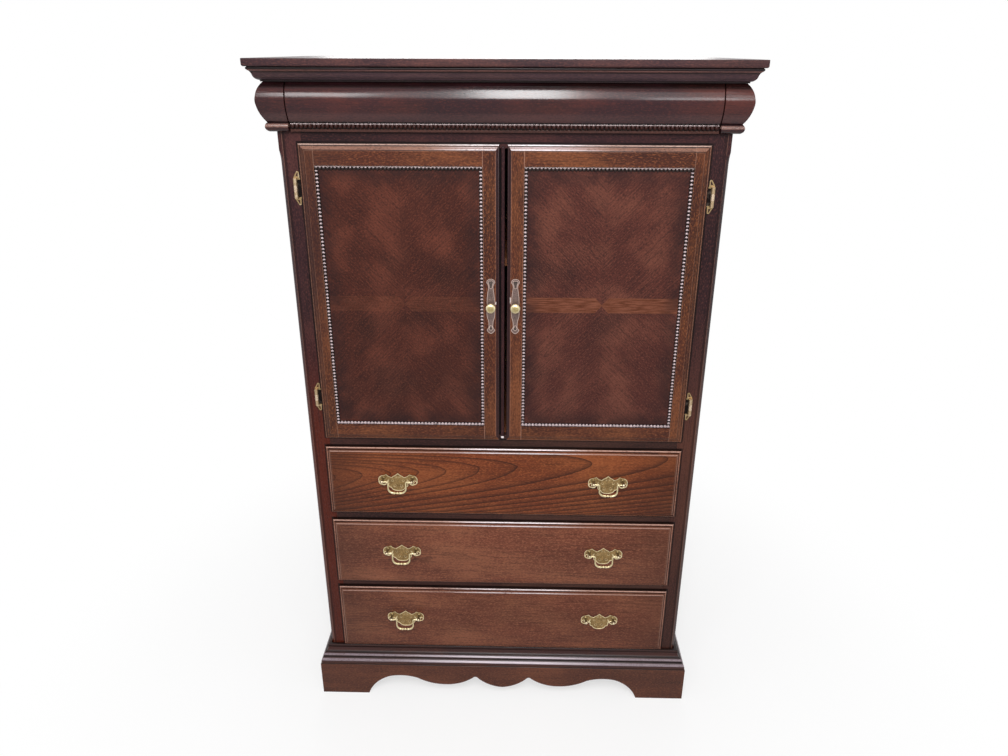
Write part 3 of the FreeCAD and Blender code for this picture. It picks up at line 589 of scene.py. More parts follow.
@dataclass(frozen=True)
class PanelVeneer(Finish):
    """Four diagonal leaves of veneer that meet in the middle, with a band across."""

    centre_x: float
    centre_z: float
    half_width: float
    half_height: float
    band_strength: float
    seed: float
    deep: str
    main: str
    light: str
    band_half: float = 17.2 * MM
    stringing: float = 1.1 * MM
    rim_width: float = 48.0 * MM
    rim_full: float = 4.0 * MM
    rim_tone: str = "190b0d"
    band_tones: tuple[str, str] = ("4b2410", "704230")
    stringing_tone: str = "7d4c30"

    def laid(self, sheet: Sheet, x: Value, y: Value, z: Value) -> bpy.types.Material:
        """Lays the four leaves, the cross band and a ragged dark band round the edge."""
        from_x, from_z = x - self.centre_x, z - self.centre_z
        out, up = abs(from_x), abs(from_z)
        along, across = (out + up) * math.sqrt(0.5), (out - up) * math.sqrt(0.5)
        quarter = from_x.over(0.0) * 7.0 + from_z.over(0.0) * 3.0 + self.seed
        seed, deep, light = self.seed, self.deep, self.light
        fibre = sheet.noise(along * 16.0, across * 330.0, quarter, 2.0, 0.6)
        fleck = sheet.noise(along * 190.0, across * 400.0, quarter, 2.0, 0.65)
        streak = sheet.noise(along * 7.0, across * 55.0, seed + 1.0, 3.0)
        cloud = sheet.noise(from_x * 12.0, from_z * 10.0, seed + 4.0, 2.0, 0.45)
        glaze = sheet.noise(from_x * 8.0, from_z * 7.0, seed + 8.0, 1.0)
        tone = sheet.coats(
            self.main, (cloud.step(0.38, 0.72) * 0.50, light),
            (streak.step(0.48, 0.70) * 0.12, deep), (glaze.step(0.50, 0.74) * 0.45, deep),
            (fibre.step(0.48, 0.66) * 0.42, deep), (fibre.step(0.46, 0.32) * 0.20, light),
            (self._tips(sheet, along, across) * 0.60, deep),
            (fleck.step(0.48, 0.34) * 0.60, deep), (fleck.step(0.54, 0.67) * 0.52, light))
        tone = self._band(sheet, tone, from_x, from_z)
        near_side, near_end = (
            distance.step(half - self.rim_width, half - self.rim_full)
            for distance, half in ((out, self.half_width), (up, self.half_height)))
        ragged = sheet.noise(from_x * 24.0, from_z * 24.0, self.seed + 6.0, 2.0)
        rim = near_side.most(near_end) * ragged.step(0.20, 0.62)
        seam = from_x.band(-0.5 * MM, 0.5 * MM, 0.6 * MM)
        tone = sheet.coats(tone, (seam * 0.35, deep), (rim * 0.60, self.rim_tone))
        return lacquered(sheet, fibre, fleck, tone, 0.30 + fleck * 0.12, 0.20)

    def _tips(self, sheet: Sheet, along: Value, across: Value) -> Value:
        """Narrow pointed loops of figure that run out along each diagonal."""
        sway = sheet.noise(along * 14.0, across * 30.0, self.seed + 3.0, 2.0) - 0.5
        off = across + sway * (10 * MM)
        turns = (along + off * off * 620.0 + sway * 0.03) / (62 * MM)
        near = abs(off).step(26 * MM, 10 * MM) * along.step(40 * MM, 80 * MM)
        return turns.fraction() ** 7.0 * near

    def _band(self, sheet: Sheet, tone: Value, from_x: Value, from_z: Value) -> Value:
        """Lays the cross band and the line of stringing round it over the leaves."""
        out, up = abs(from_x), abs(from_z)
        inside = (self.band_half - up).least(out * 1.1 - up)
        grain = sheet.noise(from_x * 30.0, from_z * 380.0, self.seed + 2.0, 3.0)
        band_tone = sheet.mix(grain.step(0.35, 0.65), *self.band_tones)
        line = inside.band(-self.stringing, 0.0, 0.3 * MM)
        return sheet.coats(
            tone, (inside.step(-0.4 * MM, 0.4 * MM) * self.band_strength, band_tone),
            (line * (0.5 * self.band_strength), self.stringing_tone))


@dataclass(frozen=True)
class PearlFinish(Finish):
    """Turned pearls of dark glazed wood, with a pale painted highlight on their upper halves."""

    ground_y: float
    front_y: float
    middle_z: float
    pitch: float
    pale: str
    rubbed_from: float
    rubbed_to: float
    rows: tuple[tuple[float, float, float], ...] = ()
    dark: str = "1e100d"
    rough: float = 0.26
    gloss: float = 0.35
    row_near: float = 4.2 * MM
    row_far: float = 4.8 * MM

    def laid(self, sheet: Sheet, x: Value, y: Value, z: Value) -> bpy.types.Material:
        """Lays the dark glaze and paints the pale highlight over the pearls' upper halves."""
        worn = sheet.noise(x, y, z, 2.0, 0.6, 60.0)
        height = ((z - self.middle_z) / self.pitch + 0.5).fraction()
        rubbed = y.step(self.ground_y, self.front_y) * height.step(self.rubbed_from, self.rubbed_to)
        # each row of pearls gets its own band of painted highlight
        for row, low, high in self.rows:
            in_row = abs(z - row).step(self.row_far, self.row_near)
            rubbed = sheet.choose(in_row, rubbed, z.step(row + low * MM, row + high * MM))
        return sheet.finish(
            worn, WOOD_RELIEF, 0.4,
            Base_Color=sheet.mix(rubbed * worn.step(0.15, 0.50), self.dark, self.pale),
            Roughness=self.rough + worn * 0.10, IOR=1.5, Specular_IOR_Level=self.gloss)


@dataclass(frozen=True)
class MetalFinish(Finish):
    """Cast or turned metal with patina in its hollows, and its front-most places painted bright:
    partly bare wear, partly a painted highlight such as the glint on a post's head.
    """

    main: str
    dark: str
    rubbed: str
    rough: float
    low_y: float | None = None
    high_y: float | None = None

    def laid(self, sheet: Sheet, x: Value, y: Value, z: Value) -> bpy.types.Material:
        """Lays the patina and paints the front-most places bright, as wear and as a painted
        highlight.
        """
        patina = sheet.noise(x, y, z, 4.0, 0.62, 420.0)
        cloud = sheet.noise(x, y, z, 3.0, 0.55, 95.0)
        tone = sheet.coats(
            self.main, (patina.step(0.40, 0.66) * 0.55, self.dark),
            (cloud.step(0.44, 0.70) * 0.35, self.dark))
        rough = self.rough + patina * 0.16
        if self.low_y is not None:
            # front-most places painted bright: wear, and a painted highlight
            worn = y.step(self.low_y, self.high_y)
            tone = sheet.mix(worn, tone, self.rubbed)
            rough = rough - worn * 0.10
        return sheet.finish(
            patina, 0.12 * MM, 0.4, Base_Color=tone, Metallic=0.92, Roughness=rough)


@dataclass(frozen=True)
class HingeLeafFinish(Finish):
    """Door leaf of a hinge: blackened metal with a brass knuckle round the barrel's axis."""

    leaf: str = "16100f"
    leaf_worn: str = "5c5148"
    axis_x: float = 465.0 * MM
    axis_y: float = FACE_Y - 6.0 * MM
    knuckle: float = 4.6 * MM
    knuckle_light: str = "dfc9b0"
    knuckle_dark: str = "80623f"

    def laid(self, sheet: Sheet, x: Value, y: Value, z: Value) -> bpy.types.Material:
        """Lays the black on the leaf and leaves the knuckle bright."""
        off_x, off_y = abs(x) - self.axis_x, y - self.axis_y
        off = (off_x * off_x + off_y * off_y) ** 0.5
        brass = off.step(self.knuckle + 0.3 * MM, self.knuckle - 0.3 * MM)
        patina = sheet.noise(x, y, z, 3.0, 0.6, 420.0)
        worn = sheet.noise(x, y, z, scale=90.0).step(0.55, 0.68)
        leaf = sheet.mix(worn * 0.5, self.leaf, self.leaf_worn)
        bright = sheet.mix(
            patina.step(0.38, 0.66) * 0.7, self.knuckle_light, self.knuckle_dark)
        return sheet.finish(
            patina, 0.10 * MM, 0.4, Base_Color=sheet.mix(brass, leaf, bright), Metallic=0.9,
            Roughness=0.30 + patina * 0.16)


@dataclass(frozen=True)
class KnobFinish(Finish):
    """Satin brass that is bright at the rim, with a painted dark reflection in the middle."""

    centre_x: float
    centre_z: float
    rim: float
    bright_tone: str = "efe3bd"
    dull_tone: str = "93804f"
    brushed_tone: str = "b0a070"

    def laid(self, sheet: Sheet, x: Value, y: Value, z: Value) -> bpy.types.Material:
        """Lays the brass, with the painted dark reflection in the middle."""
        from_x, from_z = x - self.centre_x, z - self.centre_z
        out = (from_x * from_x + from_z * from_z) ** 0.5
        brushed = sheet.noise(out * 2600.0, y * 300.0, 0.0, 3.0, 0.6)
        cloud = sheet.noise(x, y, z, 3.0, 0.6, 260.0)
        # painted dark reflection in the middle of the knob
        dark_reflection = out.step(self.rim, self.rim * 0.45) * (0.5 + cloud * 0.7)
        tone = sheet.coats(
            self.bright_tone, (dark_reflection, self.dull_tone), (brushed * 0.25, self.brushed_tone))
        return sheet.finish(
            brushed, 0.04 * MM, 0.4, Base_Color=tone, Metallic=0.9,
            Roughness=0.30 + cloud * 0.16)


@dataclass(frozen=True)
class BoardFinish(Finish):
    """Pale secondary wood or fibre board, hardly finished."""

    light: str
    dark: str
    grain: Grain = Grain.ACROSS
    fibres: float = 300.0

    def laid(self, sheet: Sheet, x: Value, y: Value, z: Value) -> bpy.types.Material:
        """Lays the fibres and their clouds."""
        stretch = {Grain.ACROSS: (0.03, 1.0, 1.0), Grain.DEEP: (1.0, 0.03, 1.0)}
        shares = stretch.get(self.grain, (1.0, 1.0, 1.0))
        place = (axis * (self.fibres * share) for axis, share in zip((x, y, z), shares))
        fibre = sheet.noise(*place, 4.0, 0.6)
        cloud = sheet.noise(x, y, z, 3.0, scale=7.0)
        tone = sheet.coats(
            self.light, (fibre.step(0.34, 0.70), self.dark), (cloud * 0.25, self.dark))
        return sheet.finish(
            fibre, 0.05 * MM, 0.4, Base_Color=tone, Roughness=0.55 + fibre * 0.15,
            IOR=LACQUER_IOR)


class Workpiece:
    """A mesh in the making, in its place on the cabinet."""

    def __init__(self) -> None:
        """Starts with nothing."""
        self.mesh = bmesh.new()

    def turned(self, profile: Sequence[tuple[float, float]], place: Matrix, steps: int) -> None:
        """Turns a profile about the Z axis of a place.

        Args:
            profile: (radius, distance along the axis) pairs, in millimetres.
            place: Where the profile's axis and start are.
            steps: Facets round the axis.
        """
        points = [
            self.mesh.verts.new(place @ Vector((radius * MM, 0.0, along * MM)))
            for radius, along in profile]
        lines = [self.mesh.edges.new(pair) for pair in zip(points, points[1:])]
        bmesh.ops.spin(
            self.mesh, geom=points + lines, cent=place.translation, axis=place.col[2].xyz,
            angle=math.tau, steps=steps, use_merge=True)

    def swept(
            self, path: Sequence[Vector], radii: Sequence[float], flat: Vector,
            sides: int = 10, squash: float = 1.0) -> None:
        """Round bar along a path that lies in a plane.

        Args:
            path: Points along the bar's middle.
            radii: The bar's radius at each point.
            flat: Direction square to the path's plane.
            sides: Facets round the bar.
            squash: Thickness along `flat` as a share of the width.
        """
        rings = []
        for index, (point, radius) in enumerate(zip(path, radii)):
            ahead = path[min(index + 1, len(path) - 1)] - path[max(index - 1, 0)]
            tangent = ahead.normalized()
            turn = Matrix((flat.cross(tangent), flat * squash, tangent)).transposed().to_4x4()
            made = bmesh.ops.create_circle(
                self.mesh, cap_ends=index in (0, len(path) - 1), segments=sides, radius=radius,
                matrix=Matrix.Translation(point) @ turn)
            rings.append({edge for vert in made["verts"] for edge in vert.link_edges})
        for near, far in zip(rings, rings[1:]):
            bmesh.ops.bridge_loops(self.mesh, edges=list(near | far))

    def plate(
            self, outlines: Sequence[Sequence[tuple[float, float]]], origin: Vector,
            thickness: float, rim: float, sunk: float) -> None:
        """Flat casting that faces the front, with a raised rim along every edge.

        Args:
            outlines: (right, up) points of the outer edge and then of each hole.
            origin: Point on its back that the outlines are drawn about.
            thickness: Its thickness at the rim.
            rim: The rim's width.
            sunk: How far the field lies below the rim.
        """
        lines = []
        for outline in outlines:
            loop = [
                self.mesh.verts.new(origin + Vector((right, 0.0, up))) for right, up in outline]
            lines += [self.mesh.edges.new(pair) for pair in zip(loop, loop[1:] + loop[:1])]
        filled = bmesh.ops.triangle_fill(self.mesh, use_beauty=True, edges=lines)
        faces = [item for item in filled["geom"] if isinstance(item, bmesh.types.BMFace)]
        raised = bmesh.ops.extrude_face_region(self.mesh, geom=faces, use_keep_orig=True)
        verts = [item for item in raised["geom"] if isinstance(item, bmesh.types.BMVert)]
        front = [item for item in raised["geom"] if isinstance(item, bmesh.types.BMFace)]
        bmesh.ops.translate(self.mesh, verts=verts, vec=(0.0, -thickness, 0.0))
        self.mesh.normal_update()
        if front[0].normal.y > 0:
            bmesh.ops.reverse_faces(self.mesh, faces=front)
        bmesh.ops.inset_region(
            self.mesh, faces=front, thickness=rim, use_boundary=True, use_even_offset=True)
        bmesh.ops.inset_region(
            self.mesh, faces=front, thickness=rim * 0.3, depth=-sunk, use_boundary=True,
            use_even_offset=True)

    def block(self, low: Sequence[float], high: Sequence[float]) -> None:
        """Block between two corners."""
        size = [high[axis] - low[axis] for axis in range(3)]
        middle = Vector([(high[axis] + low[axis]) / 2 for axis in range(3)])
        place = Matrix.Translation(middle) @ Matrix.Diagonal((*size, 1.0))
        bmesh.ops.create_cube(self.mesh, size=1.0, matrix=place)

    def pearls(self, centres: Sequence[Vector], size: Vector) -> None:
        """A flattened pearl at each centre.

        Args:
            centres: Middles of the pearls.
            size: Half of a pearl's length on each axis.
        """
        shape = Matrix.Diagonal((*size, 1.0)) @ Matrix.Rotation(math.pi / 2, 4, "X")
        one = bmesh.new()
        bmesh.ops.create_uvsphere(one, u_segments=10, v_segments=6, radius=1.0, matrix=shape)
        pattern = bpy.data.meshes.new("pearl")
        one.to_mesh(pattern)
        one.free()
        for centre in centres:
            pattern.transform(Matrix.Translation(centre))
            self.mesh.from_mesh(pattern)
            pattern.transform(Matrix.Translation(-centre))
        bpy.data.meshes.remove(pattern)

    def done(self, name: str, *role: object, **how: object) -> None:
        """Turns the mesh into a finished piece; all after its name goes to `dressed`."""
        bmesh.ops.remove_doubles(self.mesh, verts=self.mesh.verts, dist=TOUCHING)
        bmesh.ops.dissolve_degenerate(self.mesh, edges=self.mesh.edges, dist=SPECK)
        bmesh.ops.recalc_face_normals(self.mesh, faces=self.mesh.faces)
        data = bpy.data.meshes.new(name)
        self.mesh.to_mesh(data)
        self.mesh.free()
        dressed(data, name, *role, **how)


def dressed(
        data: bpy.types.Mesh, name: str, material: bpy.types.Material, body: str, slot: str,
        replaces: Sequence[str] = (), edge: float = 0.0, smooth: float = 40.0) -> None:
    """Makes a piece of a mesh, with soft edges and its finish.

    Args:
        data: The mesh, in its place.
        name: The piece's name.
        material: Its finish.
        body: The body that it rides on.
        slot: The material slot that its finish stands for; not used.
        replaces: Nodes that it stands for.
        edge: Radius of its softened edges.
        smooth: Largest angle between facets, in degrees, that is shaded round.
    """
    data.shade_smooth()
    data.set_sharp_from_angle(angle=math.radians(smooth))
    data.materials.clear()
    data.materials.append(material)
    piece = bpy.data.objects.new(name, data)
    bpy.context.scene.collection.objects.link(piece)
    if edge > 0:
        soft = piece.modifiers.new("soft edges", "BEVEL")
        soft.width = edge
        soft.segments = 3
        soft.limit_method = "ANGLE"
        soft.angle_limit = SOFTENED_FROM
        soft.harden_normals = True
        soft.use_clamp_overlap = True
    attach(piece, body)
    if replaces:
        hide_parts(*replaces)
    log.info("%s rides on %s", name, body)


def softened(node: str, material: bpy.types.Material, edge: float = 0.7 * MM) -> None:
    """Makes a copy of a node with merged faces and edges softened by a radius, to stand for it."""
    work = bmesh.new()
    work.from_mesh(frame["nodes"][node].data)
    bmesh.ops.remove_doubles(work, verts=work.verts, dist=NODE_TOUCHING)
    bmesh.ops.dissolve_limit(work, angle_limit=NEARLY_FLAT, verts=work.verts, edges=work.edges)
    data = bpy.data.meshes.new(node + "_finished")
    work.to_mesh(data)
    work.free()
    dressed(
        data, node + "_finished", material, BODY_OF[node], SLOT_OF[node], [node], edge, 32.0)


def painted(node: str, material: bpy.types.Material) -> None:
    """Gives a node of the frame its finish and leaves its shape alone."""
    data = frame["nodes"][node].data
    data.materials.clear()
    data.materials.append(material)
    log.info("%s keeps its shape", node)


def arc_points(start: Vector, through: Vector, end: Vector) -> list[Vector]:
    """Points along the circle through three points in a plane, without the first.

    Args:
        start: Where the arc starts.
        through: A point on it.
        end: Where it ends.

    Returns:
        The points, the end included.
    """
    chord, lift = end - start, through - start
    cross = chord.x * lift.y - chord.y * lift.x
    if abs(cross) < 1e-12:
        return [end]
    middle = start + Vector((
        (lift.y * chord.length_squared - chord.y * lift.length_squared),
        (chord.x * lift.length_squared - lift.x * chord.length_squared))) / (2 * cross)
    first = math.atan2(start.y - middle.y, start.x - middle.x)
    last = math.atan2(end.y - middle.y, end.x - middle.x)
    turn = (last - first) % math.tau
    if cross > 0:
        turn -= math.tau
    count = max(2, math.ceil(abs(turn) / ARC_STEP))
    radius = (start - middle).length
    angles = [first + turn * index / count for index in range(1, count + 1)]
    return [middle + Vector((math.cos(a), math.sin(a))) * radius for a in angles]


def outline_points(
        start: tuple[float, float], moves: Outline,
        scale: tuple[float, float]) -> list[tuple[float, float]]:
    """Points of an outline whose moves are lines (two shares) or arcs (four shares).

    Args:
        start: Where it starts, in shares of the scale.
        moves: Its moves, in the same shares.
        scale: Size of one share right and up.

    Returns:
        (right, up) points.
    """
    def sized(pair: Sequence[float]) -> Vector:
        """Point of a pair of shares."""
        return Vector((pair[0] * scale[0], pair[1] * scale[1]))

    points = [sized(start)]
    for move in moves:
        end = sized(move[-2:])
        if len(move) == 4:
            points += arc_points(points[-1], sized(move[:2]), end)
        else:
            points.append(end)
    return [(point.x, point.y) for point in points]


def mirrored(half: Sequence[tuple[float, float]]) -> list[tuple[float, float]]:
    """A half outline on the right, followed by its mirror image, without double points."""
    near_zero = 1e-6
    back = [(-right, up) for right, up in reversed(half) if abs(right) > near_zero]
    return list(half) + back


def facing_front(right: float, depth: float, up: float) -> Matrix:
    """Place on the cabinet whose Z axis points to the front."""
    return Matrix.Translation((right, depth, up)) @ Matrix.Rotation(math.pi / 2, 4, "X")


def middle_of(node: str) -> tuple[float, float]:
    """X and Z of the middle of a node's box."""
    low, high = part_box(node)
    return (low.x + high.x) / 2, (low.z + high.z) / 2


def pearl_rows(node: str) -> tuple[float, float, float]:
    """Levels of the lowest and highest rows of a door's pearls, and the rise from row to row."""
    low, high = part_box(node)
    first, last = low.z + BEAD_WIDTH / 2, high.z - BEAD_WIDTH / 2
    return first, last, (last - first) / round((last - first) / PEARL_PITCH)


def frieze_row() -> float:
    """Level of the row of pearls under the frieze drawer's front."""
    low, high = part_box("frieze_drawer_bead")
    return (low.z + FILLET_HEIGHT + high.z) / 2


class Finishes:
    """Every finish on the cabinet, made once."""

    def __init__(self) -> None:
        """Makes the materials."""
        self._make_case()
        self._make_fronts()
        self._make_boards()
        self._make_metal()

    def _make_case(self) -> None:
        """Makes the finishes of the case, the cornice and the base."""
        dark = {"deep": "120a0d", "main": "2a1619", "light": "462724", "gloss": 0.15}
        shadow = {Edge.SIDE: (Line(-4.0, 0.4, SHADOW_GLAZE, 0.92, 0.8),)}
        gaps = tuple(
            Rim.of([drawer + "_drawer_front"], shadow) for drawer in ("lower", "middle", "upper"))
        doors = Rim.of(["left_door_stiles", "right_door_stiles"], shadow)
        corner = (
            Line(480.0, 485.4, SHADOW_GLAZE, 0.55, 1.0), Line(486.0, 487.3, "7c5a4c", 0.55, 0.3))
        self.cornice = WoodFinish(
            "cornice_wood", Grain.MITRED, "191215", "332227", "513733", seed=1.0,
            levels=CROWN_LINES, rough=0.26).build()
        self.top = WoodFinish(
            "top_board_wood", Grain.ACROSS, "191114", "311e22", "5b3832", seed=16.0).build()
        self.case_across = WoodFinish(
            "case_rails_wood", Grain.ACROSS, seed=2.0, rims=(*gaps, doors),
            low_tones=("38211c", "422a22"), **dark).build()
        self.case_upright = WoodFinish(
            "case_upright_wood", Grain.UPRIGHT, seed=3.0, rims=(*gaps, doors), uprights=corner,
            low_tones=("4e1b0d", "4c2c22"), **{**dark, "main": "2f1a1d", "light": "4e2d29"}).build()
        # Astragal: painted shade on its faces in the gap behind the doors' fronts, and a pale band
        # at its bottom end.
        self.astragal = WoodFinish(
            "astragal_wood", Grain.UPRIGHT, seed=7.0, shaded=(-5.5, 9.0),
            levels=(Line(830.0, 841.5, "e0d4d4", 0.9),), **dark).build()
        self.base = WoodFinish(
            "base_wood", Grain.MITRED, "230f09", "4a2518", "6b3d28", seed=15.0, levels=BASE_LINES,
            lit_levels=BASE_LIT_LINES, gloss=0.26).build()
        self.frieze = WoodFinish(
            "frieze_wood", Grain.MITRED, "14090c", "2a1116", "52251c", seed=12.0, rough=0.11,
            gloss=0.35, speckle=0.35, levels=FRIEZE_LINES).build()

    def _make_fronts(self) -> None:
        """Makes the finishes of the drawer fronts and the doors."""
        door = {
            "deep": "1a0c0a", "main": "452217", "light": "764529", "left_shade": 0.55,
            "shaded": LIP_SHADE, "uprights": DOOR_JOINT_HIGHLIGHTS,
            "rims": (Rim.of(["right_door_stiles"], DOOR_RIM, DOOR_EDGE / MEETING_EDGE),)}
        self.door_across = WoodFinish("door_rail_wood", Grain.ACROSS, seed=4.0, **door).build()
        self.door_upright = WoodFinish(
            "door_stile_wood", Grain.UPRIGHT, seed=5.0, spots=WORN_SPOTS, **door).build()
        first_row, last_row, pitch = pearl_rows("right_door_bead")
        # Bead ground: near black, with painted highlights along the ground just above the top row
        # of pearls and round the bottom row.
        self.bead_ground = WoodFinish(
            "bead_ground_wood", Grain.ACROSS, "070404", "0d0807", "170d0c", seed=6.0,
            levels=(
                Line(last_row / MM + 1.7, last_row / MM + 3.8, "d4c4c0", 0.9, 0.3),
                Line(first_row / MM - 3.2, first_row / MM + 0.8, "b4acb2", 0.7, 0.4))).build()
        # Pearls of the doors and the frieze: the pale tone is a painted highlight on their upper
        # halves.
        self.door_pearls = PearlFinish(
            "door_pearl_wood", FACE_Y - 8.4 * MM, FACE_Y - 10.8 * MM, first_row, pitch,
            "aa989a", 0.38, 0.66,
            ((last_row - TOP_ROW_DROP, 1.5, 2.7), (first_row, -3.0, -0.6))).build()
        self.frieze_pearls = PearlFinish(
            "frieze_pearl_wood", FACE_Y - 11.0 * MM, FACE_Y - 14.5 * MM, frieze_row(), 14.0 * MM,
            "a89898", 0.71, 0.80, dark="2c1512", gloss=0.15).build()
        row = frieze_row() / MM
        # Frieze bead rail: a brown band on the fillet, painted shade round and above the pearls,
        # and a painted highlight along the ground just above them.
        self.bead_rail = WoodFinish(
            "bead_rail_wood", Grain.ACROSS, "0c0607", "22110f", "3e2019", seed=13.0, gloss=0.25,
            levels=(
                Line(row - 16.0, row - 6.6, "4a2a22", 0.5),
                Line(row - 6.2, row + 1.0, "0e0707", 0.8),
                Line(row + 3.0, row + 5.4, "d8c8c8", 0.95, 0.4),
                Line(row + 6.0, row + 10.0, SHADOW_GLAZE, 0.9))).build()
        self.drawers = {
            name: WoodFinish(
                name + "_drawer_wood", Grain.ACROSS, *tones, figure=figure, seed=seed,
                end_shade=shade, glaze=0.2, patches=0.45, speckle=0.5, shaded=LIP_SHADE,
                rims=(Rim.of([name + "_drawer_front"], DRAWER_RIM),)).build()
            for name, tones, figure, seed, shade in (
                ("upper", ("2c1309", "6a331a", "91522d"), Figure.CATHEDRAL, 8.0, 0.50),
                ("middle", ("2c160f", "673828", "915c42"), Figure.WAVY, 9.0, 0.35),
                ("lower", ("2a150e", "613425", "89563d"), Figure.WAVY, 10.0, 0.35))}

    def _make_boards(self) -> None:
        """Makes the finishes of the boards inside and behind."""
        self.inner = BoardFinish("inner_boards", "c9a67c", "a67c51").build()
        self.inner_deep = BoardFinish("runner_boards", "c9a67c", "a67c51", Grain.DEEP).build()
        self.deck = WoodFinish(
            "deck_wood", Grain.ACROSS, "5a3524", "7c4d34", "946042", seed=14.0).build()
        self.hardboard = BoardFinish(
            "hardboard", "8a6546", "6d4c33", Grain.UPRIGHT, fibres=900.0).build()

    def _make_metal(self) -> None:
        """Makes the finishes of the pulls, the knobs' plates, the hinges and the pins."""
        self.brass = MetalFinish(
            "antique_brass", "a08458", "46321d", "e0cfa6", 0.36,
            FACE_Y - 13.3 * MM, FACE_Y - 13.7 * MM).build()
        self.bail_brass = MetalFinish(
            "rubbed_brass", "dccfa8", "a08c5c", "ece0bd", 0.26).build()
        self.post_brass = MetalFinish(
            "post_brass", "8a7752", "4a3c29", "cdbda0", 0.36,
            FACE_Y - 33.0 * MM, FACE_Y - 36.5 * MM).build()
        self.pewter = MetalFinish(
            "antique_pewter", "7d6a65", "463a36", "c4aca2", 0.38,
            FACE_Y - 13.65 * MM, FACE_Y - 14.05 * MM).build()
        self.dark_pewter = MetalFinish("hollow_pewter", "5a504c", "2a2422", "8a7e78", 0.45).build()
        self.hinge_brass = HingeLeafFinish(
            "hinge_brass", "9a825e", "d8c6a8", knuckle=4.0 * MM).build()
        self.hinge_leaf = HingeLeafFinish("hinge_leaf_metal").build()
        self.steel = MetalFinish("pin_steel", "b5b5b5", "808080", "d0d0d0", 0.28).build()


@dataclass
class Case:
    """Boards of the case, the cornice, the base and the boards inside."""

    finishes: Finishes

    def build(self) -> None:
        """Dresses every fixed board."""
        f = self.finishes
        for material, *nodes in (
                (f.case_upright, "side_panel_left", "side_panel_right", "face_stile_left",
                 "face_stile_right"),
                (f.case_across, "frieze_rails", "middle_rail", "drawer_rails"),
                (f.top, "top_board"), (f.cornice, "crown_moulding"), (f.frieze, "frieze_ends"),
                (f.base, "base_moulding", "plinth_front", "plinth_sides"),
                (f.deck, "case_bottom", "compartment_floor", "frieze_deck", "case_top")):
            for node in nodes:
                softened(node, material)
        softened("adjustable_shelf", f.deck, 1.2 * MM)
        softened("foot_blocks", f.inner)
        softened("drawer_runners", f.inner_deep)
        painted("back_panel", f.hardboard)
        painted("shelf_pins", f.steel)


@dataclass
class FriezeDrawer:
    """Hidden drawer behind the cushion moulding, with the pearl rail under its front."""

    finishes: Finishes
    pitch: float = 9.4 * MM
    pearl_radius: float = 4.6 * MM
    pearl_out: float = 12.3 * MM
    rail_out: float = 10.2 * MM
    rail_back_out: float = 8.4 * MM

    def build(self) -> None:
        """Makes the front, the box and the pearls."""
        softened("frieze_drawer_front", self.finishes.frieze, 1.6 * MM)
        softened("frieze_drawer_box", self.finishes.inner)
        painted("frieze_drawer_bottom", self.finishes.hardboard)
        self._bead()

    def _bead(self) -> None:
        """Pearl rail: a fillet, the ground behind the pearls and the pearls."""
        low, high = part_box("frieze_drawer_bead")
        back = high.y
        ground = Workpiece()
        ground.block(
            (low.x, FACE_Y - self.rail_out, low.z), (high.x, back, low.z + FILLET_HEIGHT))
        ground.block(
            (low.x, FACE_Y - self.rail_back_out, low.z + FILLET_HEIGHT), (high.x, back, high.z))
        ground.done(
            "frieze_bead_rail", self.finishes.bead_rail, "frieze_drawer", "beads",
            ["frieze_drawer_bead"], 0.6 * MM)
        count = int((high.x - low.x) // self.pitch)
        start = (low.x + high.x) / 2 - (count - 1) * self.pitch / 2
        up = frieze_row()
        row = Workpiece()
        row.pearls(
            [Vector((start + index * self.pitch, FACE_Y - self.pearl_out, up))
             for index in range(count)],
            Vector((1.0, 1.2, 1.3)) * self.pearl_radius)
        row.done(
            "frieze_pearls", self.finishes.frieze_pearls, "frieze_drawer", "beads", smooth=80.0)


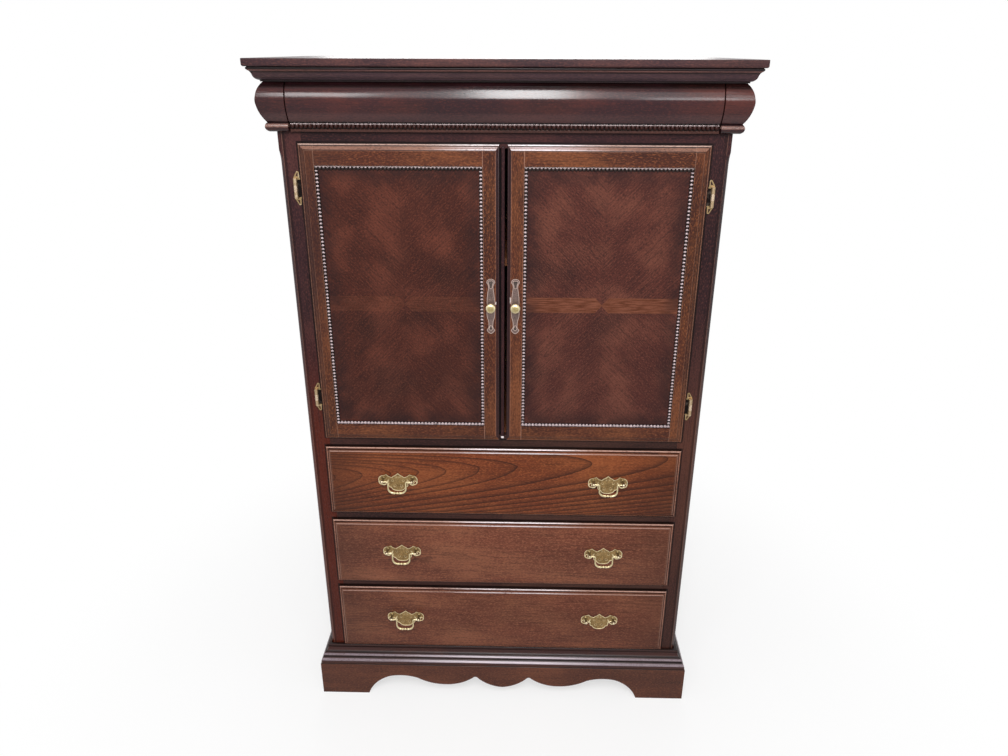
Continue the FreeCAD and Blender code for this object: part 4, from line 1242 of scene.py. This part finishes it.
@dataclass
class DrawerPull:
    """Cast plate, two posts and the bail of one drawer pull."""

    finishes: Finishes
    drawer: str
    side: Side
    has_bail: bool
    width: float = 101.0 * MM
    height: float = 52.0 * MM
    thickness: float = 1.8 * MM
    rim: float = 1.5 * MM
    sunk: float = 0.7 * MM
    spread: float = 544.6 * MM
    post_spacing: float = 76.2 * MM
    post_rise: float = 12.0 * MM
    post_length: float = 20.2 * MM
    bail_half: float = 23.0 * MM
    bail_drop: float = 33.0 * MM
    bail_corner: float = 3.5 * MM
    bail_curve: float = 14.0 * MM
    bail_gap: float = 2.2 * MM
    front: float = FRONT_Y
    scroll_steps: int = 16
    scroll_radius: float = 0.62 * MM

    SCROLLS = ((9.5, -11.5, 5.4, 1.4), (13.5, 4.5, 4.6, -1.2), (4.6, 14.5, 3.2, 1.1))
    OUTLINE = [
        (0.10, 0.83, 0.27, 0.64), (0.31, 0.55, 0.37, 0.58), (0.50, 0.70, 0.59, 0.875),
        (0.68, 0.80, 0.763, 0.75), (0.95, 0.58, 1.0, 0.16), (0.96, -0.20, 0.825, -0.325),
        (0.68, -0.36, 0.58, -0.143), (0.50, -0.20), (0.50, -0.46, 0.37, -0.63),
        (0.30, -0.84, 0.206, -0.95), (0.10, -1.0, 0.0, -1.0)]

    @property
    def middle(self) -> Vector:
        """Centre of the plate, on the drawer's front."""
        _, up = middle_of(self.drawer + "_drawer_front")
        return Vector((self.side.value * self.spread / 2, self.front, up))

    def plate(self, work: Workpiece) -> None:
        """Adds the plate with its raised rim, scroll holes and relief."""
        scale = (self.width / 2, self.height / 2)
        outer = mirrored(outline_points((0.0, 1.0), self.OUTLINE, scale))
        holes = []
        for side in (-1, 1):
            hole = outline_points(
                (0.60, -0.06), [(0.66, -0.02, 0.74, -0.08), (0.84, -0.10, 0.80, 0.08),
                                (0.94, -0.06, 0.82, -0.20), (0.70, -0.24, 0.60, -0.06)],
                scale)[:-1]
            holes.append([(side * right, up) for right, up in hole])
        work.plate([outer, *holes], self.middle, self.thickness, self.rim, self.sunk)
        self._relief(work)

    def _relief(self, work: Workpiece) -> None:
        """Adds the low scrolls of the casting's field."""
        field = self.front - self.thickness + self.sunk
        for side, (right, up, radius, turns) in product((-1, 1), self.SCROLLS):
            path, radii = [], []
            for index in range(self.scroll_steps + 1):
                share = index / self.scroll_steps
                angle = turns * math.tau * share + (0.6 if turns > 0 else 2.2)
                reach = radius * (1.0 - 0.72 * share) * MM
                path.append(Vector((
                    self.middle.x + side * (right * MM + reach * math.cos(angle)), field,
                    self.middle.z + up * MM + reach * math.sin(angle))))
                radii.append(self.scroll_radius * (0.55 + 0.45 * math.sin(math.pi * share)))
            work.swept(path, radii, Vector((0, 1, 0)), 6, 0.9)

    def posts(self, work: Workpiece) -> None:
        """Adds the two turned posts that hold the bail."""
        base = self.front - self.thickness + self.sunk
        profile = [
            (0.0, 0.0), (5.6, 0.0), (5.6, 1.2), (4.6, 2.4), (3.4, 3.2), (3.0, 4.4), (3.0, 12.6),
            (3.3, 14.6), (3.8, 16.6), (4.0, 19.0), (3.9, 21.4), (3.3, 23.4), (2.1, 24.7),
            (0.0, 25.1)]
        for side in (-1, 1):
            place = facing_front(
                self.middle.x + side * self.post_spacing / 2, base, self.middle.z + self.post_rise)
            work.turned(profile, place, 20)

    def bail(self) -> None:
        """Makes the swinging handle."""
        axis_y = self.front - self.thickness - self.post_length
        axis_z = self.middle.z + self.post_rise
        end, half = self.post_spacing / 2 - self.bail_gap, self.bail_half
        corner, curve, drop = self.bail_corner, self.bail_curve, self.bail_drop
        half_path: list[tuple[float, float, float]] = [(end, 0.0, 1.7), (end - 4 * MM, 0.0, 2.0)]
        for index in range(7):
            turn = math.pi / 2 * index / 6
            half_path.append((
                half + corner - corner * math.sin(turn), -corner + corner * math.cos(turn), 2.0))
        half_path.append((half, -(corner + drop - curve) / 2, 1.9))
        for index in range(9):
            turn = math.pi / 2 * index / 8
            half_path.append((
                half - curve + curve * math.cos(turn), curve - drop - curve * math.sin(turn),
                2.0 + 0.9 * math.sin(turn)))
        bulb = [
            (8.3, 3.35), (7.2, 3.5), (6.0, 3.3), (5.0, 2.6), (4.2, 1.8), (3.5, 1.5), (2.9, 1.8),
            (2.2, 2.5), (1.1, 2.9)]
        half_path += [(right * MM, -drop, radius) for right, radius in bulb]
        whole = half_path + [(0.0, -drop, 3.0)] + [
            (-right, up, radius) for right, up, radius in reversed(half_path)]
        work = Workpiece()
        work.swept(
            [Vector((self.middle.x + right, axis_y, axis_z + up)) for right, up, _ in whole],
            [radius * MM for _, _, radius in whole], Vector((0, 1, 0)), 12)
        node = f"{self.drawer}_{self.side.word}_bail"
        work.done(node + "_finished", self.finishes.bail_brass, node, "pulls", [node], smooth=60.0)


@dataclass
class Drawer:
    """One of the three wide drawers."""

    finishes: Finishes
    name: str

    def build(self) -> None:
        """Makes the front, the box and the pulls."""
        body = self.name + "_drawer"
        softened(body + "_front", self.finishes.drawers[self.name])
        softened(body + "_box", self.finishes.inner)
        painted(body + "_bottom", self.finishes.hardboard)
        pulls = [
            DrawerPull(self.finishes, self.name, side, (self.name, side) != ("lower", Side.RIGHT))
            for side in Side]
        plates, posts = Workpiece(), Workpiece()
        for pull in pulls:
            pull.plate(plates)
            pull.posts(posts)
            if pull.has_bail:
                pull.bail()
        plates.done(
            body + "_plates", self.finishes.brass, body, "pulls", [body + "_pull_plates"],
            0.25 * MM, 50.0)
        posts.done(body + "_posts", self.finishes.post_brass, body, "pulls", smooth=50.0)


@dataclass
class Door:
    """One door with its pearl frame and pull; its hinge halves are dressed by Hinges."""

    finishes: Finishes
    side: Side
    ground_height: float = 1.6 * MM
    pearl_out: float = 2.0 * MM
    plate_length: float = 135.0 * MM
    plate_width: float = 21.0 * MM
    plate_thickness: float = 2.2 * MM
    knob_radius: float = 11.8 * MM
    panel_depth: float = 7.0 * MM

    PLATE_TOP = [
        (0.55, 0.982, 0.96, 0.867), (0.66, 0.79, 0.57, 0.66), (0.74, 0.48, 0.85, 0.32),
        (0.90, 0.15, 0.86, 0.0)]
    PLATE_BOTTOM = [
        (0.95, -0.14, 0.93, -0.285), (0.84, -0.40, 0.67, -0.48), (0.54, -0.57, 0.50, -0.66),
        (0.62, -0.79, 0.94, -0.855), (0.52, -0.955, 0.0, -1.0)]

    @property
    def node(self) -> str:
        """Start of the door's node names, which is also its body."""
        return self.side.word + "_door"

    def build(self) -> None:
        """Makes the frame, the panel, the pearls and the pull."""
        f = self.finishes
        softened(self.node + "_stiles", f.door_upright)
        softened(self.node + "_rails", f.door_across)
        bead_low, bead_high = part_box(self.node + "_bead")
        veneer = PanelVeneer(
            self.node + "_veneer", *middle_of(self.node + "_panel"),
            (bead_high.x - bead_low.x) / 2 - BEAD_WIDTH,
            (bead_high.z - bead_low.z) / 2 - BEAD_WIDTH,
            BAND_STRENGTH[self.side], 20.0 + self.side.value, *PANEL_TONES[self.side])
        softened(self.node + "_panel", veneer.build())
        if self.side is Side.LEFT:
            softened("left_door_astragal", f.astragal, 1.2 * MM)
        self._bead()
        self._pull()

    def _bead(self) -> None:
        """Makes the frame of pearls round the panel."""
        low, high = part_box(self.node + "_bead")
        front = FACE_Y - self.panel_depth
        ground = Workpiece()
        outer, inner = (
            [ground.mesh.verts.new((x, front, z)) for x, z in (
                (low.x + inset, low.z + inset), (high.x - inset, low.z + inset),
                (high.x - inset, high.z - inset), (low.x + inset, high.z - inset))]
            for inset in (0.0, BEAD_WIDTH))
        for index in range(4):
            after = (index + 1) % 4
            ground.mesh.faces.new((outer[index], outer[after], inner[after], inner[index]))
        raised = bmesh.ops.extrude_face_region(
            ground.mesh, geom=ground.mesh.faces[:], use_keep_orig=True)
        bmesh.ops.translate(
            ground.mesh, vec=(0.0, -self.ground_height, 0.0),
            verts=[item for item in raised["geom"] if isinstance(item, bmesh.types.BMVert)])
        ground.done(
            self.node + "_bead_ground", self.finishes.bead_ground, self.node, "beads",
            [self.node + "_bead"], 0.3 * MM)
        middle = BEAD_WIDTH / 2
        x0, x1, z0, z1 = low.x + middle, high.x - middle, low.z + middle, high.z - middle
        across = round((x1 - x0) / PEARL_PITCH)
        up = round((z1 - z0) / PEARL_PITCH)
        y = front - self.pearl_out
        centres = [
            Vector((x0 + (x1 - x0) * index / across, y, z))
            for z in (z0, z1 - TOP_ROW_DROP) for index in range(across + 1)]
        centres += [
            Vector((x, y, z0 + (z1 - z0) * index / up))
            for x in (x0, x1) for index in range(1, up)]
        pearls = Workpiece()
        pearls.pearls(centres, Vector((3.8, 2.9, 4.0)) * MM)
        pearls.done(
            self.node + "_pearls", self.finishes.door_pearls, self.node, "beads", smooth=80.0)

    def _pull(self) -> None:
        """Makes the backplate and the knob."""
        x, z = middle_of(self.node + "_knob")
        scale = (self.plate_width / 2, self.plate_length / 2)
        half = outline_points((0.0, 1.0), self.PLATE_TOP, scale)
        half += outline_points((0.86, 0.0), self.PLATE_BOTTOM, scale)[1:]
        tear = outline_points(
            (0.0, 0.915), [(0.40, 0.91, 0.46, 0.85), (0.30, 0.77, 0.24, 0.71),
                           (0.16, 0.672, 0.0, 0.668)], scale)
        drop = outline_points(
            (0.0, -0.70), [(0.14, -0.715, 0.16, -0.76), (0.22, -0.84, 0.0, -0.855)], scale)
        work = Workpiece()
        work.plate(
            [mirrored(half), mirrored(tear), mirrored(drop)], Vector((x, FRONT_Y, z)),
            self.plate_thickness, 1.2 * MM, 0.6 * MM)
        work.done(
            self.node + "_plate_finished", self.finishes.pewter, self.node, "door_plates",
            [self.node + "_pull_plate"], 0.25 * MM, 50.0)
        hollow = Workpiece()
        for outline in (tear, drop):
            hollow.plate(
                [[(right * 1.15, up) for right, up in mirrored(outline)]],
                Vector((x, FRONT_Y, z)), self.plate_thickness * 0.45, 0.5 * MM, 0.2 * MM)
        tongue = [
            Vector((x, FRONT_Y - self.plate_thickness * 0.8, z + up * MM))
            for up in (47.2, -50.0)]
        hollow.pearls(tongue, Vector((1.0, 0.8, 1.7)) * MM)
        hollow.done(
            self.node + "_plate_hollows", self.finishes.dark_pewter, self.node, "door_plates")
        profile = [
            (0.0, 0.0), (7.4, 0.0), (7.4, 1.4), (6.2, 2.4), (5.0, 3.4), (4.8, 6.2), (5.6, 8.2),
            (8.9, 9.6), (11.0, 11.4), (11.8, 13.6), (11.5, 15.8), (10.3, 17.4), (8.4, 18.7),
            (5.4, 19.6), (2.6, 19.95), (0.0, 20.0)]
        knob = Workpiece()
        knob.turned(profile, facing_front(x, FRONT_Y - self.plate_thickness, z), 36)
        finish = KnobFinish(self.node + "_knob_brass", x, z, self.knob_radius).build()
        knob.done(
            self.node + "_knob_finished", finish, self.node, "knobs", [self.node + "_knob"],
            smooth=60.0)


@dataclass
class Hinges:
    """Wrap hinges of both doors."""

    finishes: Finishes

    def build(self) -> None:
        """Dresses the leaves of the frame and of the doors."""
        softened("hinge_frame_leaves", self.finishes.hinge_brass, 0.2 * MM)
        for side in Side:
            softened(side.word + "_door_hinge_leaves", self.finishes.hinge_leaf, 0.2 * MM)


@dataclass
class Studio:
    """Camera, soft lamps, floor and backdrop."""

    eye: tuple[float, float, float] = (39.6 * MM, -1986.4 * MM, 1744.8 * MM)
    yaw: float = -1.214
    pitch: float = 23.028
    roll: float = -0.189
    lens: float = 27.61
    floor_half: float = 7.0
    room_light: float = 0.35

    def build(self) -> None:
        """Sets the camera, the lamps and the floor."""
        self._camera()
        self._lamp("key", (0.04, -2.25, 2.95), (0.02, -0.3, 1.6), (0.46, 1.45), 64.0)
        self._lamp("soft bank", (0.20, -2.35, 2.85), (0.0, -0.3, 1.5), (1.9, 1.0), 15.0)
        self._lamp("left bank", (-0.95, -2.25, 2.62), (-0.2, -0.3, 1.6), (0.5, 0.45), 12.0)
        self._lamp("right bank", (0.86, -2.25, 2.25), (0.2, -0.3, 1.6), (0.5, 0.3), 5.0)
        self._lamp("left", (-3.6, -1.4, 2.2), (0.0, 0.0, 0.9), (1.6, 1.8), 9.0)
        self._lamp("right", (3.6, -1.4, 2.2), (0.0, 0.0, 0.9), (1.6, 1.8), 9.0)
        self._lamp("behind", (0.0, 3.4, 2.6), (0.0, 0.0, 1.0), (2.6, 1.6), 45.0)
        self._floor()
        self._world()
        bpy.context.scene.view_settings.view_transform = "Standard"

    def _camera(self) -> None:
        """Puts the camera where the photograph was taken."""
        yaw, pitch, roll = (math.radians(angle) for angle in (self.yaw, self.pitch, self.roll))
        turn = (
            Matrix.Rotation(-yaw, 4, "Z") @ Matrix.Rotation(math.pi / 2 - pitch, 4, "X")
            @ Matrix.Rotation(-roll, 4, "Z"))
        data = bpy.data.cameras.new("camera")
        data.lens = self.lens
        data.sensor_width = 36.0
        data.clip_start, data.clip_end = 0.05, 60.0
        camera = bpy.data.objects.new("camera", data)
        camera.matrix_world = Matrix.Translation(self.eye) @ turn
        bpy.context.scene.collection.objects.link(camera)
        bpy.context.scene.camera = camera

    @staticmethod
    def _lamp(
            name: str, place: Sequence[float], target: Sequence[float],
            size: tuple[float, float], power: float) -> None:
        """Adds a soft rectangular lamp.

        Args:
            name: Its name.
            place: Where it hangs.
            target: What it points at.
            size: Its width and height.
            power: Its power in watts.
        """
        data = bpy.data.lights.new(name, "AREA")
        data.shape = "RECTANGLE"
        data.size, data.size_y = size
        data.energy = power
        lamp = bpy.data.objects.new(name, data)
        lamp.location = place
        lamp.rotation_mode = "QUATERNION"
        lamp.rotation_quaternion = (Vector(target) - Vector(place)).to_track_quat("-Z", "Y")
        bpy.context.scene.collection.objects.link(lamp)

    @staticmethod
    def _seen(sheet: Sheet) -> Value:
        """1 for rays from the camera, from gloss and through glass."""
        camera, glossy, through = (
            sheet.node("LightPath", out=f"Is {kind} Ray")
            for kind in ("Camera", "Glossy", "Transmission"))
        return camera.most(glossy).most(through)

    def _floor(self) -> None:
        """Adds the pale floor."""
        sheet = Sheet(bpy.data.materials.new("pale_floor"))
        x, y, z = sheet.point()
        grain = sheet.noise(x * 30.0, y * 30.0, z, 3.0)
        paint = sheet.mix(grain * 0.06, (0.90, 0.90, 0.90, 1.0), (0.84, 0.84, 0.84, 1.0))
        matt = sheet.node("BsdfDiffuse", {"Color": paint}, out="BSDF")
        far = (x * x + y * y) ** 0.5
        share = self._seen(sheet) * (far.step(0.5, 1.5) * 0.35 + 0.65)
        glow = sheet.node("Emission", {"Color": WHITE, "Strength": 1.0})
        both = sheet.node("MixShader", {0: share, 1: matt, 2: glow})
        sheet.node("OutputMaterial", {"Surface": both})
        work = bmesh.new()
        bmesh.ops.create_grid(work, x_segments=2, y_segments=2, size=self.floor_half)
        data = bpy.data.meshes.new("floor")
        work.to_mesh(data)
        work.free()
        data.materials.append(sheet.owner)
        floor = bpy.data.objects.new("floor", data)
        bpy.context.scene.collection.objects.link(floor)

    def _world(self) -> None:
        """Pale surroundings: white to the camera, dimmer as light on the cabinet."""
        world = bpy.data.worlds.new("pale_room")
        bpy.context.scene.world = world
        sheet = Sheet(world)
        dim, white = (
            sheet.node("Background", {"Color": WHITE, "Strength": strength})
            for strength in (self.room_light, 1.0))
        both = sheet.node("MixShader", {0: self._seen(sheet), 1: dim, 2: white})
        sheet.node("OutputWorld", {"Surface": both})


def write_sizes() -> None:
    """Updates the view layer."""
    bpy.context.view_layer.update()


def main() -> None:
    """Builds the studio and every sub-assembly in order."""
    logging.basicConfig(level=logging.INFO, format="%(name)s: %(message)s")
    Studio().build()
    finishes = Finishes()
    Case(finishes).build()
    FriezeDrawer(finishes).build()
    for name in ("lower", "middle", "upper"):
        Drawer(finishes, name).build()
    for side in Side:
        Door(finishes, side).build()
    Hinges(finishes).build()
    write_sizes()


if __name__ == "__main__":
    main()
